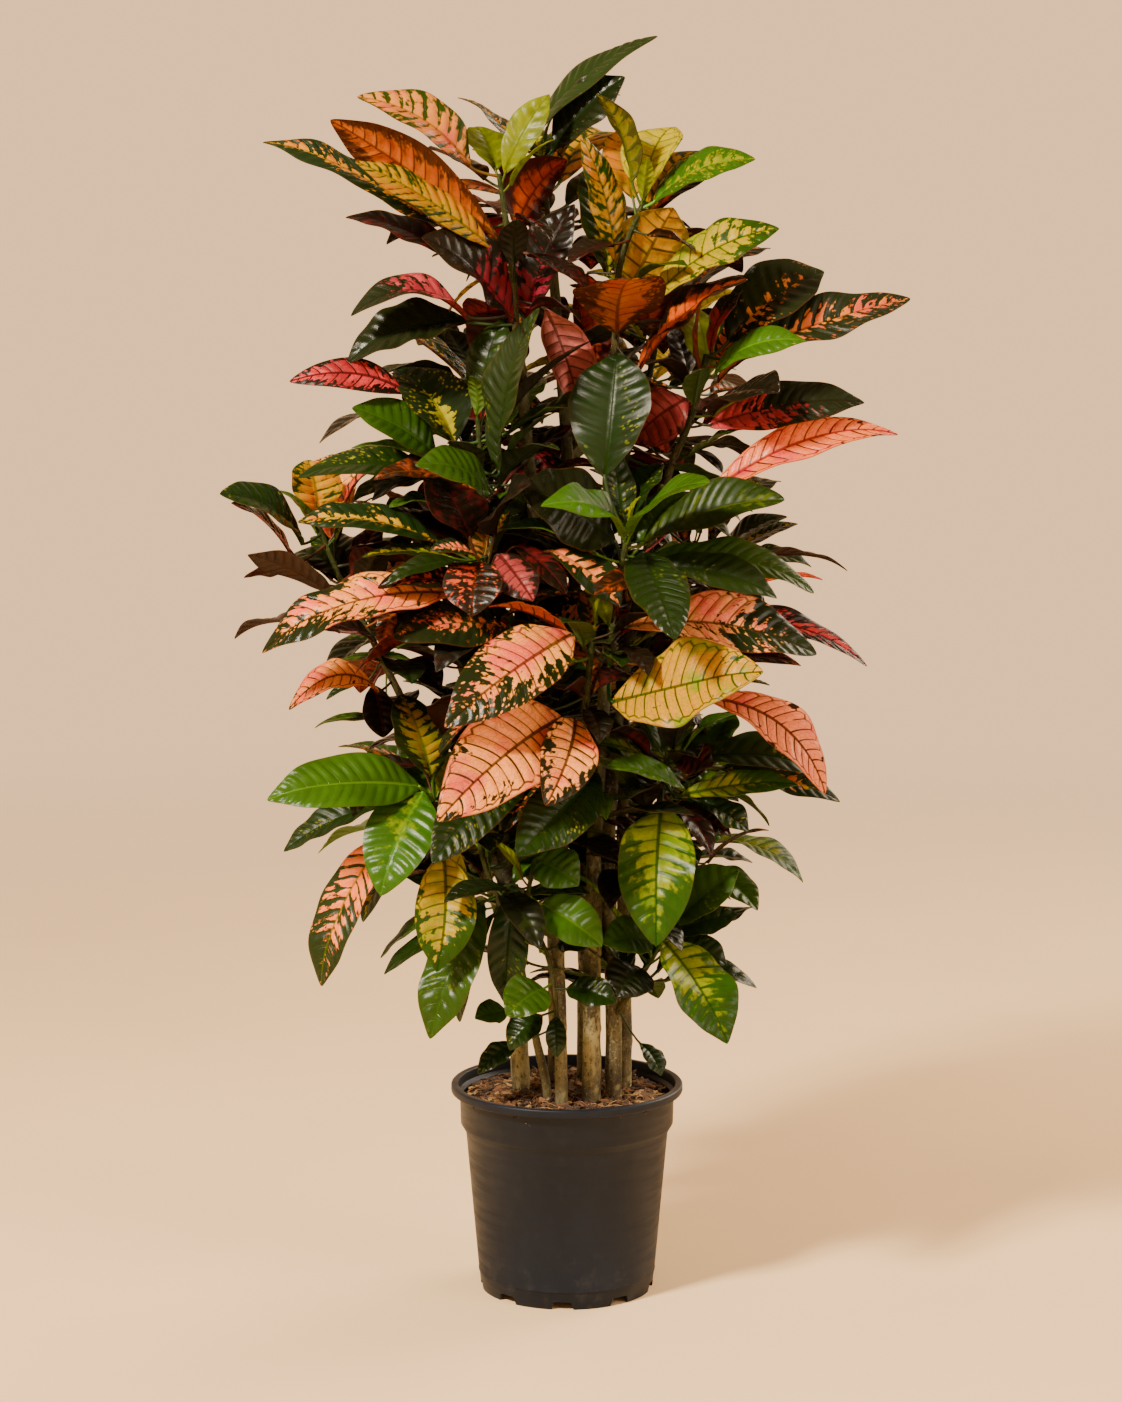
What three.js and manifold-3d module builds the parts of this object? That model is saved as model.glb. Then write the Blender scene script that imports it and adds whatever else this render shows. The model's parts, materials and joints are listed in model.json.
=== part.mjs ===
// A croton in a nursery pot: pot, soil, woody canes, and leafy stems with their leaves. Millimetres, +Z up.
// The origin is on the ground under the middle of the pot. The front of the plant faces -Y.
import * as THREE from 'three';
import { mergeVertices } from 'three/addons/utils/BufferGeometryUtils.js';
import Module from 'manifold-3d';

const wasm = await Module();
wasm.setup();

// Pot
const potHeight = 216;
const rimRadius = 120;
const lipWidth = 7.5;
const lipHeight = 9;
const collarRadius = 110.5;
const collarFoot = 174;
const chamferFoot = 166;
const bodyTopRadius = 105;
const footRadius = 89.6;
const wall = 2.4;
const floorLevel = 11;
const potSides = 32;
const notchCount = 9;
const notchHeight = 9;
const notchGroundWidth = 23;
const notchTopWidth = 18;
const notchTurn = -93;

// Soil and canes
const soilLevel = 203;
const soilMound = 4;
const gap = 0.35;
const caneFoot = 150;

// Leaves
const bladeThickness = 1.1;
const stalkHalfWidth = 2.0;
const stalkThickness = 3.2;
const stalkEndThickness = 2.4;
const shortLeaf = 140;
const clearance = 0.9;
const breadth = 1.14;
const rootStretch = 14;
const seed = 20931;

// The leaf table's places are seen from here: a point at depth y lies on the line of sight through (x, 0, z).
const eye = { x: -6, y: -3200, z: 1026 };

function seen(x, y, z) {
  const reach = 1 - y / eye.y;
  return new THREE.Vector3(eye.x + (x - eye.x) * reach, y, eye.z + (z - eye.z) * reach);
}

// Woody canes: each a list of limbs, a limb being [foot radius, top radius, [x, y, z], ...].
const canes = [
  [
    [9.5, 5.5, [-45, -12, caneFoot], [-49, -12, 260], [-59, -8, 400], [-74, -4, 540], [-83, -2, 690], [-86, -6, 790]],
    [6, 4.2, [-61, -8, 420], [-100, -9, 500], [-138, -7, 572], [-165, -5, 617]],
  ],
  [[4.8, 3.4, [-18, -47, caneFoot], [-21, -47, 220], [-31, -49, 270], [-43, -52, 330], [-52, -54, 380]]],
  [[6.8, 4.6, [-6, -62, caneFoot], [-6, -62, 260], [-8, -58, 400], [0, -58, 510], [14, -68, 590]]],
  [[10.2, 6, [25, -46, caneFoot], [25, -46, 260], [27, -42, 380], [28, -36, 480], [34, -42, 580], [42, -52, 680]]],
  [[9, 5, [47, -34, caneFoot], [48, -33, 270], [45, -28, 360], [42, -18, 460], [52, -8, 600], [76, -4, 740], [98, -2, 835]]],
  [
    [6.5, 4.4, [60, 0, caneFoot], [61, 2, 300], [57, 6, 420], [58, 12, 560], [62, 14, 720], [54, 6, 860], [48, -8, 960]],
    [4.6, 3.6, [57, 6, 425], [76, -12, 480], [92, -28, 512]],
  ],
  [
    [9, 5.4, [-12, 22, caneFoot], [-11, 24, 300], [-16, 28, 480], [-24, 28, 640], [-32, 18, 780], [-42, 6, 900], [-50, -4, 980]],
    [5, 4, [-24, 28, 650], [-52, 58, 760], [-76, 90, 855]],
  ],
  [
    [9, 5, [18, 38, caneFoot], [20, 42, 300], [18, 50, 480], [12, 56, 660], [3, 52, 820], [-7, 44, 960], [-14, 40, 1050]],
    [5.4, 4, [12, 56, 670], [44, 80, 800], [74, 102, 900]],
    [5, 4, [20, 46, 380], [16, 80, 445], [12, 106, 505]],
  ],
  [
    [7.4, 4.6, [-50, 32, caneFoot], [-55, 40, 300], [-72, 62, 450], [-96, 94, 580], [-118, 122, 660]],
    [4.6, 3.8, [-60, 47, 350], [-84, 82, 410], [-96, 100, 440]],
  ],
  [
    [7.4, 4.6, [54, 46, caneFoot], [58, 52, 300], [78, 76, 450], [100, 106, 580], [118, 128, 670]],
    [4.6, 3.8, [64, 58, 340], [88, 86, 400], [102, 102, 440]],
  ],
];

// Leafy stems. path: the green stem from inside its cane to the growing tip. leaves: the ones that face the
// front, [blade base x, z, depth, tip x, z, depth, width, arch, turn], with x and z as seen in the plane y = 0,
// arch the rise of the midrib over its chord, and turn the angle of the upper face from level towards the front.
// more: the leaves of the far side, [count, first azimuth, sweep, length].
const stems = [
  {
    name: 'top_left', colour: '#8a4a2c', radius: [4.2, 2.6],
    path: [[-50, -4, 972], [-56, -12, 1060], [-68, -14, 1145]],
    leaves: [
      [-55, 998, -30, -143, 1084, -95, 82, 12, 50],
      [-120, 1090, -12, -300, 1184, -30, 42, 8, 35],
      [-72, 1082, -24, -240, 1198, -34, 52, 10, -45],
      [-74, 1074, -40, -195, 1185, -64, 44, 8, 52],
      [-98, 1150, -20, -214, 1212, -26, 52, 20, 42],
      [-80, 1140, -18, -90, 1192, 24, 44, 6, 0],
      [-62, 1146, -16, -18, 1224, -8, 30, 6, 60],
      [-66, 1084, -18, -2, 1160, 16, 60, 8, -65],
      [-100, 1056, 12, -220, 1107, 14, 38, 8, 30],
      [-102, 1004, -22, -217, 1006, -62, 44, 26, 24],
      [-100, 998, -8, -222, 962, -46, 52, 14, 36],
      [-64, 1002, 12, -86, 950, 62, 58, 8, -40],
      [-42, 1002, 4, 6, 1116, 2, 46, 8, 62],
      [-22, 1012, -18, 14, 904, 24, 54, 8, 0],
    ],
    more: [3, 40, 110, 150],
  },
  {
    name: 'top_back', colour: '#4c6b33', radius: [4, 2.4],
    path: [[-14, 40, 1042], [-20, 37, 1110], [-26, 34, 1164]],
    leaves: [
      [-28, 1158, 26, 57, 1241, 8, 50, 8, 60],
      [-42, 1172, 40, 100, 1270, 36, 54, 18, 40],
    ],
    more: [7, 0, 250, 165],
  },
  {
    name: 'top_right', colour: '#b08a24', radius: [4.2, 2.6],
    path: [[48, -8, 952], [52, -16, 1050], [76, -24, 1118]],
    leaves: [
      [50, 978, -20, 64, 1044, -136, 76, 8, 0],
      [46, 1042, -24, 14, 1184, -32, 40, 8, 66],
      [40, 1044, -4, 20, 1154, 22, 44, 8, 10],
      [82, 1114, -26, 104, 1193, 14, 60, 8, 0],
      [86, 1106, -28, 188, 1160, -54, 48, 14, 36],
      [62, 1034, 2, 98, 1118, -24, 70, 6, -50],
      [90, 1024, -34, 212, 1092, -62, 54, 12, 44],
      [72, 950, -30, 178, 1044, -62, 58, 12, 26],
      [20, 1046, 0, 34, 946, 30, 36, 8, 0],
    ],
    more: [3, 10, 150, 160],
  },
  {
    name: 'upper_right', colour: '#3c4a38', radius: [4.4, 2.6],
    path: [[98, -2, 828], [108, 0, 862], [120, 2, 888], [132, 0, 925], [140, -2, 966]],
    leaves: [
      [168, 962, -22, 345, 1022, 0, 46, 12, 46],
      [164, 976, 4, 264, 1040, 8, 70, 14, 44],
      [148, 945, -26, 240, 980, -60, 36, 18, 30],
      [146, 906, -18, 212, 930, -96, 60, 10, 22],
      [144, 894, -6, 299, 921, -34, 50, 14, 46],
      [138, 930, -2, 66, 878, -8, 54, 10, 58],
      [122, 940, 14, 100, 1002, 34, 38, 6, 10],
      [152, 958, 8, 178, 1046, 30, 36, 6, 0],
      [142, 946, 16, 128, 1018, 42, 38, 6, 0],
      [142, 928, -8, 138, 1030, -10, 18, 6, 60],
    ],
    more: [4, 0, 140, 150],
  },
  {
    name: 'left_crown', colour: '#55613f', radius: [4.4, 2.6],
    path: [[-86, -6, 782], [-87, -8, 850], [-90, -12, 902]],
    leaves: [
      [-68, 846, -46, -28, 1012, -76, 60, 12, 62],
      [-114, 876, -24, -172, 952, 14, 66, 12, 20],
      [-130, 862, -32, -213, 912, -66, 52, 12, 45],
      [-134, 846, -30, -272, 845, -52, 46, 14, 26],
      [-140, 862, 6, -218, 872, 14, 28, 6, 10],
      [-122, 842, -52, -195, 843, -84, 26, 6, 30],
      [-76, 826, -60, -150, 858, -122, 48, 12, 46],
      [-160, 926, -16, -281, 939, -34, 38, 22, 40],
    ],
    more: [4, 20, 150, 160],
  },
  {
    name: 'middle_crown', colour: '#5c8a2e', radius: [4.6, 3],
    path: [[42, -52, 672], [50, -62, 735], [60, -72, 788]],
    leaves: [
      [38, 842, -58, 50, 968, -22, 72, 8, 0],
      [54, 784, -82, -20, 819, -205, 42, 18, 45],
      [64, 784, -82, 143, 838, -222, 46, 14, 48],
      [78, 774, -70, 220, 820, -150, 58, 12, 40],
      [82, 760, -62, 252, 730, -86, 42, 14, 32],
      [84, 750, -84, 213, 725, -136, 42, 12, 34],
      [56, 792, -56, 45, 873, -34, 28, 6, 0],
      [64, 794, -54, 88, 862, -30, 40, 8, 0],
      [50, 776, -62, -46, 834, -96, 84, 10, 50],
      [145, 824, -30, 333, 892, -24, 38, 26, 48],
      [78, 766, -96, 110, 678, -236, 50, 10, 0],
      [74, 742, -104, 28, 724, -150, 24, 6, 30],
      [176, 760, 16, 285, 753, 26, 24, 8, -8],
    ],
    more: [2, 60, 60, 150],
  },
  {
    name: 'far_left', colour: '#4b4a35', radius: [4, 2.6],
    path: [[-165, -5, 610], [-200, 0, 680], [-230, 2, 738], [-252, 0, 794]],
    leaves: [
      [-268, 774, -14, -351, 826, -92, 46, 14, 44],
      [-276, 756, -26, -338, 818, -78, 36, 8, 30],
      [-238, 724, -20, -324, 764, -58, 40, 6, -40],
      [-250, 802, -4, -262, 860, 22, 48, 6, 0],
      [-216, 740, 16, -276, 768, 34, 42, 6, 20],
      [-192, 624, -26, -284, 606, -62, 36, 32, 30],
      [-152, 652, 12, -234, 655, 6, 18, 8, 20],
      [-192, 594, 12, -258, 589, 24, 14, 5, 20],
      [-198, 630, -4, -188, 576, -26, 32, 4, 0],
      [-176, 706, -36, -188, 668, -56, 18, 4, 0],
      [-196, 676, -20, -250, 694, -44, 26, 6, 20],
      [-204, 634, -2, -246, 616, -14, 12, 4, 20],
      [-166, 654, -10, -128, 626, -30, 30, 4, 20],
      [-158, 782, 22, -216, 818, 24, 44, 8, 20],
    ],
    more: [5, 10, 170, 140],
  },
  {
    name: 'left_middle', colour: '#7a4a30', radius: [4.2, 3],
    path: [[-81, -2, 640], [-82, -40, 700], [-82, -62, 768]],
    leaves: [
      [-112, 723, -78, -312, 670, -116, 58, 26, 32],
      [-100, 724, -88, -192, 731, -112, 38, 14, 30],
      [-118, 712, -66, -240, 699, -80, 26, 6, 30],
      [-112, 756, -92, -184, 736, -130, 20, 6, 30],
      [-116, 758, -84, -206, 754, -102, 22, 6, 20],
      [-130, 766, -60, -278, 765, -84, 48, 16, 26],
      [-94, 764, -96, -138, 769, -126, 22, 5, 30],
      [-96, 780, -72, -136, 852, -46, 70, 8, 0],
      [-74, 782, -74, -40, 838, -118, 62, 8, 40],
      [-88, 756, -92, -96, 702, -138, 50, 6, 0],
      [-70, 764, -88, -34, 716, -128, 36, 6, 20],
      [-60, 772, -92, -16, 722, -140, 24, 6, 20],
      [-34, 766, -100, 22, 708, -158, 44, 8, 20],
    ],
    more: [2, 150, 60, 140],
  },
  {
    name: 'middle', colour: '#c46a52', radius: [4.2, 3],
    path: [[14, -68, 582], [20, -80, 640], [26, -90, 694]],
    leaves: [
      [6, 682, -104, -123, 590, -222, 62, 18, 44],
      [-4, 597, -96, -128, 496, -266, 76, 14, 42],
      [4, 592, -98, -36, 490, -208, 48, 12, 30],
      [-58, 694, -84, -175, 690, -124, 60, 12, 50],
      [14, 660, -84, -76, 622, -126, 54, 8, 40],
      [30, 540, -90, -50, 456, -236, 54, 10, 34],
      [-40, 548, -92, -138, 446, -200, 50, 10, 34],
    ],
    more: [1, 60, 60, 120],
  },
  {
    name: 'right_middle', colour: '#a8922e', radius: [4, 3],
    path: [[38, -47, 640], [42, -76, 668], [46, -92, 702]],
    leaves: [
      [46, 612, -106, 195, 648, -206, 76, 8, 56],
      [52, 695, -102, 252, 659, -140, 60, 18, 42],
      [100, 700, -62, 308, 656, -64, 32, 18, 32],
      [104, 652, -68, 238, 656, -96, 30, 6, 20],
      [138, 616, -92, 266, 519, -118, 42, 42, 46],
    ],
    more: [1, 0, 60, 120],
  },
  {
    name: 'lower_right', colour: '#4f7a2a', radius: [3.8, 2.8],
    path: [[92, -28, 505], [97, -38, 530], [101, -46, 566]],
    leaves: [
      [97, 506, -76, 92, 360, -150, 64, 16, 0],
      [104, 500, -40, 168, 478, -56, 38, 4, 24],
      [135, 510, -52, 187, 480, -74, 28, 5, 30],
      [116, 515, -76, 235, 531, -104, 26, 8, 44],
      [122, 546, -54, 265, 523, -86, 44, 16, 30],
      [120, 522, -90, 42, 548, -138, 34, 6, 30],
      [102, 560, -54, 148, 542, -84, 34, 5, 30],
      [150, 546, -42, 174, 602, -24, 46, 6, 0],
      [156, 556, -30, 283, 552, -36, 32, 8, 34],
      [118, 436, 2, 187, 459, 8, 18, 8, -8],
    ],
    more: [3, 0, 130, 140],
  },
  {
    name: 'low_right', colour: '#55862c', radius: [3.6, 2.6],
    path: [[47, -32, 290], [70, -56, 332], [92, -66, 370]],
    leaves: [
      [106, 380, -68, 176, 440, -72, 46, 6, 46],
      [106, 372, -54, 176, 393, -62, 30, 5, 40],
      [105, 366, -60, 166, 346, -78, 30, 5, 40],
      [100, 362, -84, 162, 249, -132, 58, 12, 20],
      [86, 362, -76, 38, 362, -116, 40, 6, 44],
      [88, 350, -72, 52, 306, -108, 44, 6, 30],
      [76, 256, -34, 98, 222, -54, 20, 5, 10],
    ],
    more: [2, 20, 80, 110],
  },
  {
    name: 'lower_left', colour: '#4f8a24', radius: [3.8, 2.8],
    path: [[-60, -8, 402], [-95, -34, 452], [-126, -50, 500], [-138, -56, 526]],
    leaves: [
      [-150, 525, -66, -306, 516, -122, 56, 16, 46],
      [-147, 522, -76, -196, 422, -148, 58, 12, 20],
      [-138, 530, -60, -168, 622, -22, 56, 8, 0],
      [-150, 546, -40, -220, 548, -58, 18, 4, 30],
      [-166, 576, -54, -210, 536, -92, 22, 4, 30],
      [-176, 482, -46, -258, 318, -66, 46, 14, 40],
      [-188, 506, -18, -291, 458, -28, 34, 10, 30],
      [-128, 500, -28, -182, 440, -20, 38, 6, 20],
    ],
    more: [3, 60, 110, 130],
  },
  {
    name: 'low_left', colour: '#5f7d30', radius: [3.4, 2.6],
    path: [[-52, -54, 374], [-66, -58, 410], [-80, -62, 446], [-90, -64, 482]],
    leaves: [
      [-128, 456, -76, -134, 333, -146, 52, 12, 10],
      [-86, 405, -72, -143, 262, -126, 48, 14, 24],
      [-82, 401, -56, -112, 279, -66, 32, 10, 30],
      [-84, 412, -52, -150, 422, -44, 32, 6, 44],
      [-80, 426, -58, -110, 456, -44, 24, 4, 0],
      [-72, 424, -66, -90, 470, -60, 22, 4, 10],
      [-52, 424, -76, -63, 297, -96, 34, 8, 30],
      [-120, 402, -36, -193, 347, -30, 20, 6, 20],
      [-110, 382, -42, -190, 331, -54, 24, 6, 20],
    ],
    more: [2, 90, 80, 110],
  },
  {
    name: 'base_shoot', colour: '#6f9a34', radius: [3, 2.2],
    path: [[-6, -62, 268], [-10, -76, 300], [-18, -80, 360], [-38, -82, 410], [-36, -80, 452]],
    leaves: [
      [-46, 407, -88, 36, 360, -122, 42, 8, 46],
      [-34, 450, -82, 12, 424, -112, 42, 6, 40],
      [-28, 352, -78, 36, 372, -98, 36, 5, 40],
      [-28, 346, -88, -64, 372, -104, 28, 5, 40],
      [-8, 318, -88, -62, 286, -136, 40, 8, 36],
      [0, 314, -86, 50, 300, -118, 30, 5, 40],
      [-26, 286, -84, -60, 250, -104, 32, 5, 20],
      [-12, 290, -88, -10, 242, -106, 18, 4, 0],
      [-52, 256, -64, -92, 224, -84, 22, 4, 30],
      [-62, 290, -70, -95, 283, -92, 24, 4, 40],
    ],
    more: [0, 0, 0, 0],
  },
  {
    name: 'inner_left', colour: '#4a4a2c', radius: [3.8, 2.6],
    path: [[-20, 28, 556], [-34, 4, 600], [-40, -14, 640]],
    leaves: [],
    more: [7, -190, 150, 128],
  },
  {
    name: 'inner_right', colour: '#43502c', radius: [3.8, 2.6],
    path: [[55, -7, 620], [74, -24, 650], [84, -36, 690]],
    leaves: [],
    more: [7, -110, 150, 128],
  },
  {
    name: 'back_left_high', colour: '#3f5a30', radius: [4, 2.6],
    path: [[-75, 88, 850], [-84, 104, 905], [-90, 116, 960]],
    leaves: [],
    more: [10, -60, 360, 172],
  },
  {
    name: 'back_right_high', colour: '#4a5c2c', radius: [4, 2.6],
    path: [[73, 101, 894], [88, 116, 950], [98, 126, 1010]],
    leaves: [],
    more: [10, -80, 360, 170],
  },
  {
    name: 'back_left_middle', colour: '#6a4630', radius: [4, 2.6],
    path: [[-117, 121, 654], [-128, 134, 700], [-136, 142, 752]],
    leaves: [],
    more: [10, 10, 300, 166],
  },
  {
    name: 'back_right_middle', colour: '#3e5a2e', radius: [4, 2.6],
    path: [[117, 127, 664], [128, 138, 712], [136, 146, 766]],
    leaves: [],
    more: [10, -60, 300, 172],
  },
  {
    name: 'back_low', colour: '#5a7a34', radius: [3.8, 2.6],
    path: [[12, 105, 498], [12, 118, 540], [10, 126, 588]],
    leaves: [],
    more: [8, -10, 240, 158],
  },
  {
    name: 'back_left_low', colour: '#4d7a2c', radius: [3.6, 2.6],
    path: [[-95, 99, 434], [-106, 110, 460], [-114, 116, 492]],
    leaves: [],
    more: [7, 40, 230, 156],
  },
  {
    name: 'back_right_low', colour: '#587a2c', radius: [3.6, 2.6],
    path: [[101, 101, 434], [110, 110, 462], [116, 116, 494]],
    leaves: [],
    more: [7, -50, 230, 156],
  },
];

// Seeded draws, the same on every run.
let drawState = seed;
function draw() {
  drawState = (drawState + 0x6d2b79f5) >>> 0;
  let t = drawState;
  t = Math.imul(t ^ (t >>> 15), t | 1);
  t ^= t + Math.imul(t ^ (t >>> 7), t | 61);
  return ((t ^ (t >>> 14)) >>> 0) / 4294967296;
}

// Solids
function solidFrom(geometry) {
  const bare = geometry.clone();
  bare.deleteAttribute('normal');
  bare.deleteAttribute('uv');
  const merged = mergeVertices(bare, 1e-4);
  const corners = Array.from(merged.index.array);
  const triVerts = [];
  for (let i = 0; i < corners.length; i += 3) {
    const [a, b, c] = corners.slice(i, i + 3);
    if (a !== b && b !== c && c !== a) triVerts.push(a, b, c);
  }
  return new wasm.Manifold(new wasm.Mesh({
    numProp: 3,
    vertProperties: new Float32Array(merged.attributes.position.array),
    triVerts: new Uint32Array(triVerts),
  }));
}

function joined(solids) {
  let all = solids[0];
  for (const solid of solids.slice(1)) all = all.add(solid);
  return all;
}

function meshFrom(solid, name, look) {
  const faces = solid.getMesh();
  const geometry = new THREE.BufferGeometry();
  geometry.setAttribute('position', new THREE.BufferAttribute(new Float32Array(faces.vertProperties), 3));
  geometry.setIndex(new THREE.BufferAttribute(new Uint32Array(faces.triVerts), 1));
  geometry.computeVertexNormals();
  const mesh = new THREE.Mesh(geometry, new THREE.MeshStandardMaterial({ metalness: 0, ...look }));
  mesh.name = name;
  return mesh;
}

const point = ([x, y, z]) => new THREE.Vector3(x, y, z);

// The direction of a path at each of its places, halfway between the stretches that meet there.
function pathDirections(path) {
  const stretches = path.slice(1).map((spot, i) => spot.clone().sub(path[i]).normalize());
  return path.map((spot, i) => {
    const before = stretches[Math.max(0, i - 1)];
    const after = stretches[Math.min(stretches.length - 1, i)];
    return before.clone().add(after).normalize();
  });
}

// A tapering round limb: a cylinder whose rings are laid across the path, one at each of its places.
function limb(places, footRadius, topRadius, sides, grow = 0) {
  const path = places.map(point);
  const directions = pathDirections(path);
  const steps = path.length - 1;
  const tube = new THREE.CylinderGeometry(1, 1, 1, sides, steps);
  const at = tube.attributes.position;
  const spot = new THREE.Vector3();
  for (let i = 0; i < at.count; i += 1) {
    spot.fromBufferAttribute(at, i);
    const ring = Math.round((spot.y + 0.5) * steps);
    const radius = THREE.MathUtils.lerp(footRadius, topRadius, ring / steps) + grow;
    const side = new THREE.Vector3(1, 0, 0).addScaledVector(directions[ring], -directions[ring].x).normalize();
    const depth = new THREE.Vector3().crossVectors(directions[ring], side);
    const centre = path[ring].clone();
    if (ring === 0) centre.addScaledVector(directions[0], -grow);
    if (ring === steps) centre.addScaledVector(directions[steps], grow);
    centre.addScaledVector(side, spot.x * radius).addScaledVector(depth, -spot.z * radius);
    at.setXYZ(i, centre.x, centre.y, centre.z);
  }
  return solidFrom(tube);
}

// The place at a share of a path's length.
function alongPath(path, share) {
  const lengths = path.slice(1).map((spot, i) => spot.distanceTo(path[i]));
  let left = share * lengths.reduce((sum, length) => sum + length, 0);
  for (let i = 0; i < lengths.length; i += 1) {
    if (left <= lengths[i] || i === lengths.length - 1) return path[i].clone().lerp(path[i + 1], left / lengths[i]);
    left -= lengths[i];
  }
  return path.at(-1);
}

// Leaves
const up = new THREE.Vector3(0, 0, 1);
const front = new THREE.Vector3(0, -1, 0);

// The leaf's half width along its blade, from 0 at the stalk to 0 at the tip, as a share of the full half width.
function outline(u) {
  return Math.pow(Math.sin(Math.PI * Math.pow(u, 0.93)), 0.72);
}

// The upper face's direction: level with the ground as far as the leaf's own slope lets it, then turned.
function faceOf(along, turnDegrees) {
  const level = up.clone().addScaledVector(along, -up.dot(along));
  if (level.lengthSq() < 1e-6) level.copy(front);
  level.normalize();
  const across = new THREE.Vector3().crossVectors(along, level);
  if (across.dot(front) < 0) across.negate();
  const turn = THREE.MathUtils.degToRad(turnDegrees);
  return level.multiplyScalar(Math.cos(turn)).addScaledVector(across, Math.sin(turn)).normalize();
}

// A leaf as a closed thin solid: a three-sided stalk from the stem, then an arched blade whose rows rock from
// side to side, so that its edges wave. Both faces are split into triangles alike.
function leafSolid(leaf, more) {
  const chord = leaf.tip.clone().sub(leaf.base);
  const length = chord.length();
  const along = chord.clone().divideScalar(length);
  const face = leaf.face.clone().addScaledVector(along, -leaf.face.dot(along)).normalize();
  const across = new THREE.Vector3().crossVectors(along, face);
  const stalk = leaf.base.clone().sub(leaf.root).normalize();
  const flat = face.clone().addScaledVector(stalk, -face.dot(stalk));
  if (flat.lengthSq() < 0.02) flat.copy(along).addScaledVector(stalk, -along.dot(stalk));
  flat.normalize();
  const side = new THREE.Vector3().crossVectors(stalk, flat);
  const rows = [
    { centre: leaf.root, normal: flat, side, half: stalkHalfWidth, thick: stalkThickness, stalk: true },
    { centre: leaf.base, normal: face, side: across, half: stalkHalfWidth, thick: stalkEndThickness, stalk: true },
  ];
  (length < shortLeaf ? [0.36, 0.74] : [0.26, 0.54, 0.82]).forEach((u, k) => {
    const half = outline(u) * leaf.width / 2;
    const centre = leaf.base.clone().addScaledVector(chord, u).addScaledVector(face, leaf.arch * 4 * u * (1 - u));
    const slope = leaf.arch * 4 * (1 - 2 * u) / length;
    const normal = face.clone().addScaledVector(along, -slope).normalize();
    const rock = (k % 2 ? -1 : 1) * leaf.wave * half;
    rows.push({ centre, normal, side: across, half, thick: bladeThickness, rock });
  });
  const spots = [];
  for (const row of rows) {
    for (const sheet of [1, -1]) {
      for (const edge of [-1, 1]) {
        const out = row.stalk && sheet < 0 ? 0 : edge * (row.half + more);
        const rise = edge * (row.rock ?? 0) + sheet * (row.thick / 2 + more);
        spots.push(row.centre.clone().addScaledVector(row.side, out).addScaledVector(row.normal, rise));
      }
    }
  }
  const endNormal = face.clone().addScaledVector(along, leaf.arch * 4 / length).normalize();
  const end = leaf.tip.clone().addScaledVector(along, more);
  for (const sheet of [1, -1]) spots.push(end.clone().addScaledVector(endNormal, sheet * (0.4 + more)));

  const index = [];
  const id = (row, sheet, edge) => row * 4 + sheet * 2 + edge;
  const quad = (a, b, c, d) => index.push(a, b, c, a, c, d);
  const last = rows.length - 1;
  const tipTop = rows.length * 4;
  const tipUnder = tipTop + 1;
  for (let r = 0; r < last; r += 1) {
    quad(id(r, 0, 0), id(r, 0, 1), id(r + 1, 0, 1), id(r + 1, 0, 0));
    index.push(id(r, 1, 0), id(r + 1, 1, 1), id(r, 1, 1), id(r, 1, 0), id(r + 1, 1, 0), id(r + 1, 1, 1));
    quad(id(r, 0, 0), id(r + 1, 0, 0), id(r + 1, 1, 0), id(r, 1, 0));
    quad(id(r, 0, 1), id(r, 1, 1), id(r + 1, 1, 1), id(r + 1, 0, 1));
  }
  quad(id(0, 0, 0), id(0, 1, 0), id(0, 1, 1), id(0, 0, 1));
  index.push(id(last, 0, 0), id(last, 0, 1), tipTop, id(last, 1, 0), tipUnder, id(last, 1, 1));
  quad(id(last, 0, 0), tipTop, tipUnder, id(last, 1, 0));
  quad(id(last, 0, 1), id(last, 1, 1), tipUnder, tipTop);

  const geometry = new THREE.BufferGeometry();
  geometry.setAttribute('position', new THREE.Float32BufferAttribute(spots.flatMap((s) => s.toArray()), 3));
  geometry.setIndex(index);
  return solidFrom(geometry);
}

// The leaf turned about its root, and shortened, to find it room.
const turnStep = 5;
const leafMoves = [];
for (const size of [1, 0.88, 0.76, 0.64]) {
  leafMoves.push({ pitch: 0, yaw: 0, size });
  for (let ring = 1; ring <= 5; ring += 1) {
    for (let spoke = 0; spoke < 8; spoke += 1) {
      const angle = spoke * Math.PI / 4;
      leafMoves.push({
        pitch: ring * turnStep * Math.sin(angle),
        yaw: ring * turnStep * Math.cos(angle),
        size,
      });
    }
  }
}

function movedLeaf(leaf, move) {
  const reach = leaf.tip.clone().sub(leaf.root);
  const flat = new THREE.Vector3(reach.x, reach.y, 0);
  if (flat.lengthSq() < 1) flat.set(1, 0, 0);
  const tiltAxis = flat.normalize().cross(up);
  const turn = new THREE.Quaternion().setFromAxisAngle(up, THREE.MathUtils.degToRad(move.yaw));
  turn.multiply(new THREE.Quaternion().setFromAxisAngle(tiltAxis, THREE.MathUtils.degToRad(move.pitch)));
  const carried = (spot) => spot.clone().sub(leaf.root).applyQuaternion(turn).multiplyScalar(move.size).add(leaf.root);
  return {
    ...leaf,
    base: carried(leaf.base),
    tip: carried(leaf.tip),
    face: leaf.face.clone().applyQuaternion(turn),
    width: leaf.width * move.size,
    arch: leaf.arch * move.size,
  };
}

// The nearest leaf scar on a stem to a leaf's base: the scars run up the stem from its foot, one leaf to each.
const stemFoot = 0.14;
const stemEnd = 0.985;
const scars = 28;
function rootOn(path, base, taken) {
  let best = null;
  let least = Infinity;
  for (let i = 0; i <= scars; i += 1) {
    if (taken.has(i)) continue;
    const spot = alongPath(path, stemFoot + (stemEnd - stemFoot) * i / scars);
    const away = spot.distanceTo(base);
    if (away < least) {
      least = away;
      best = { spot, i };
    }
  }
  taken.add(best.i);
  return best.spot;
}

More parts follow.
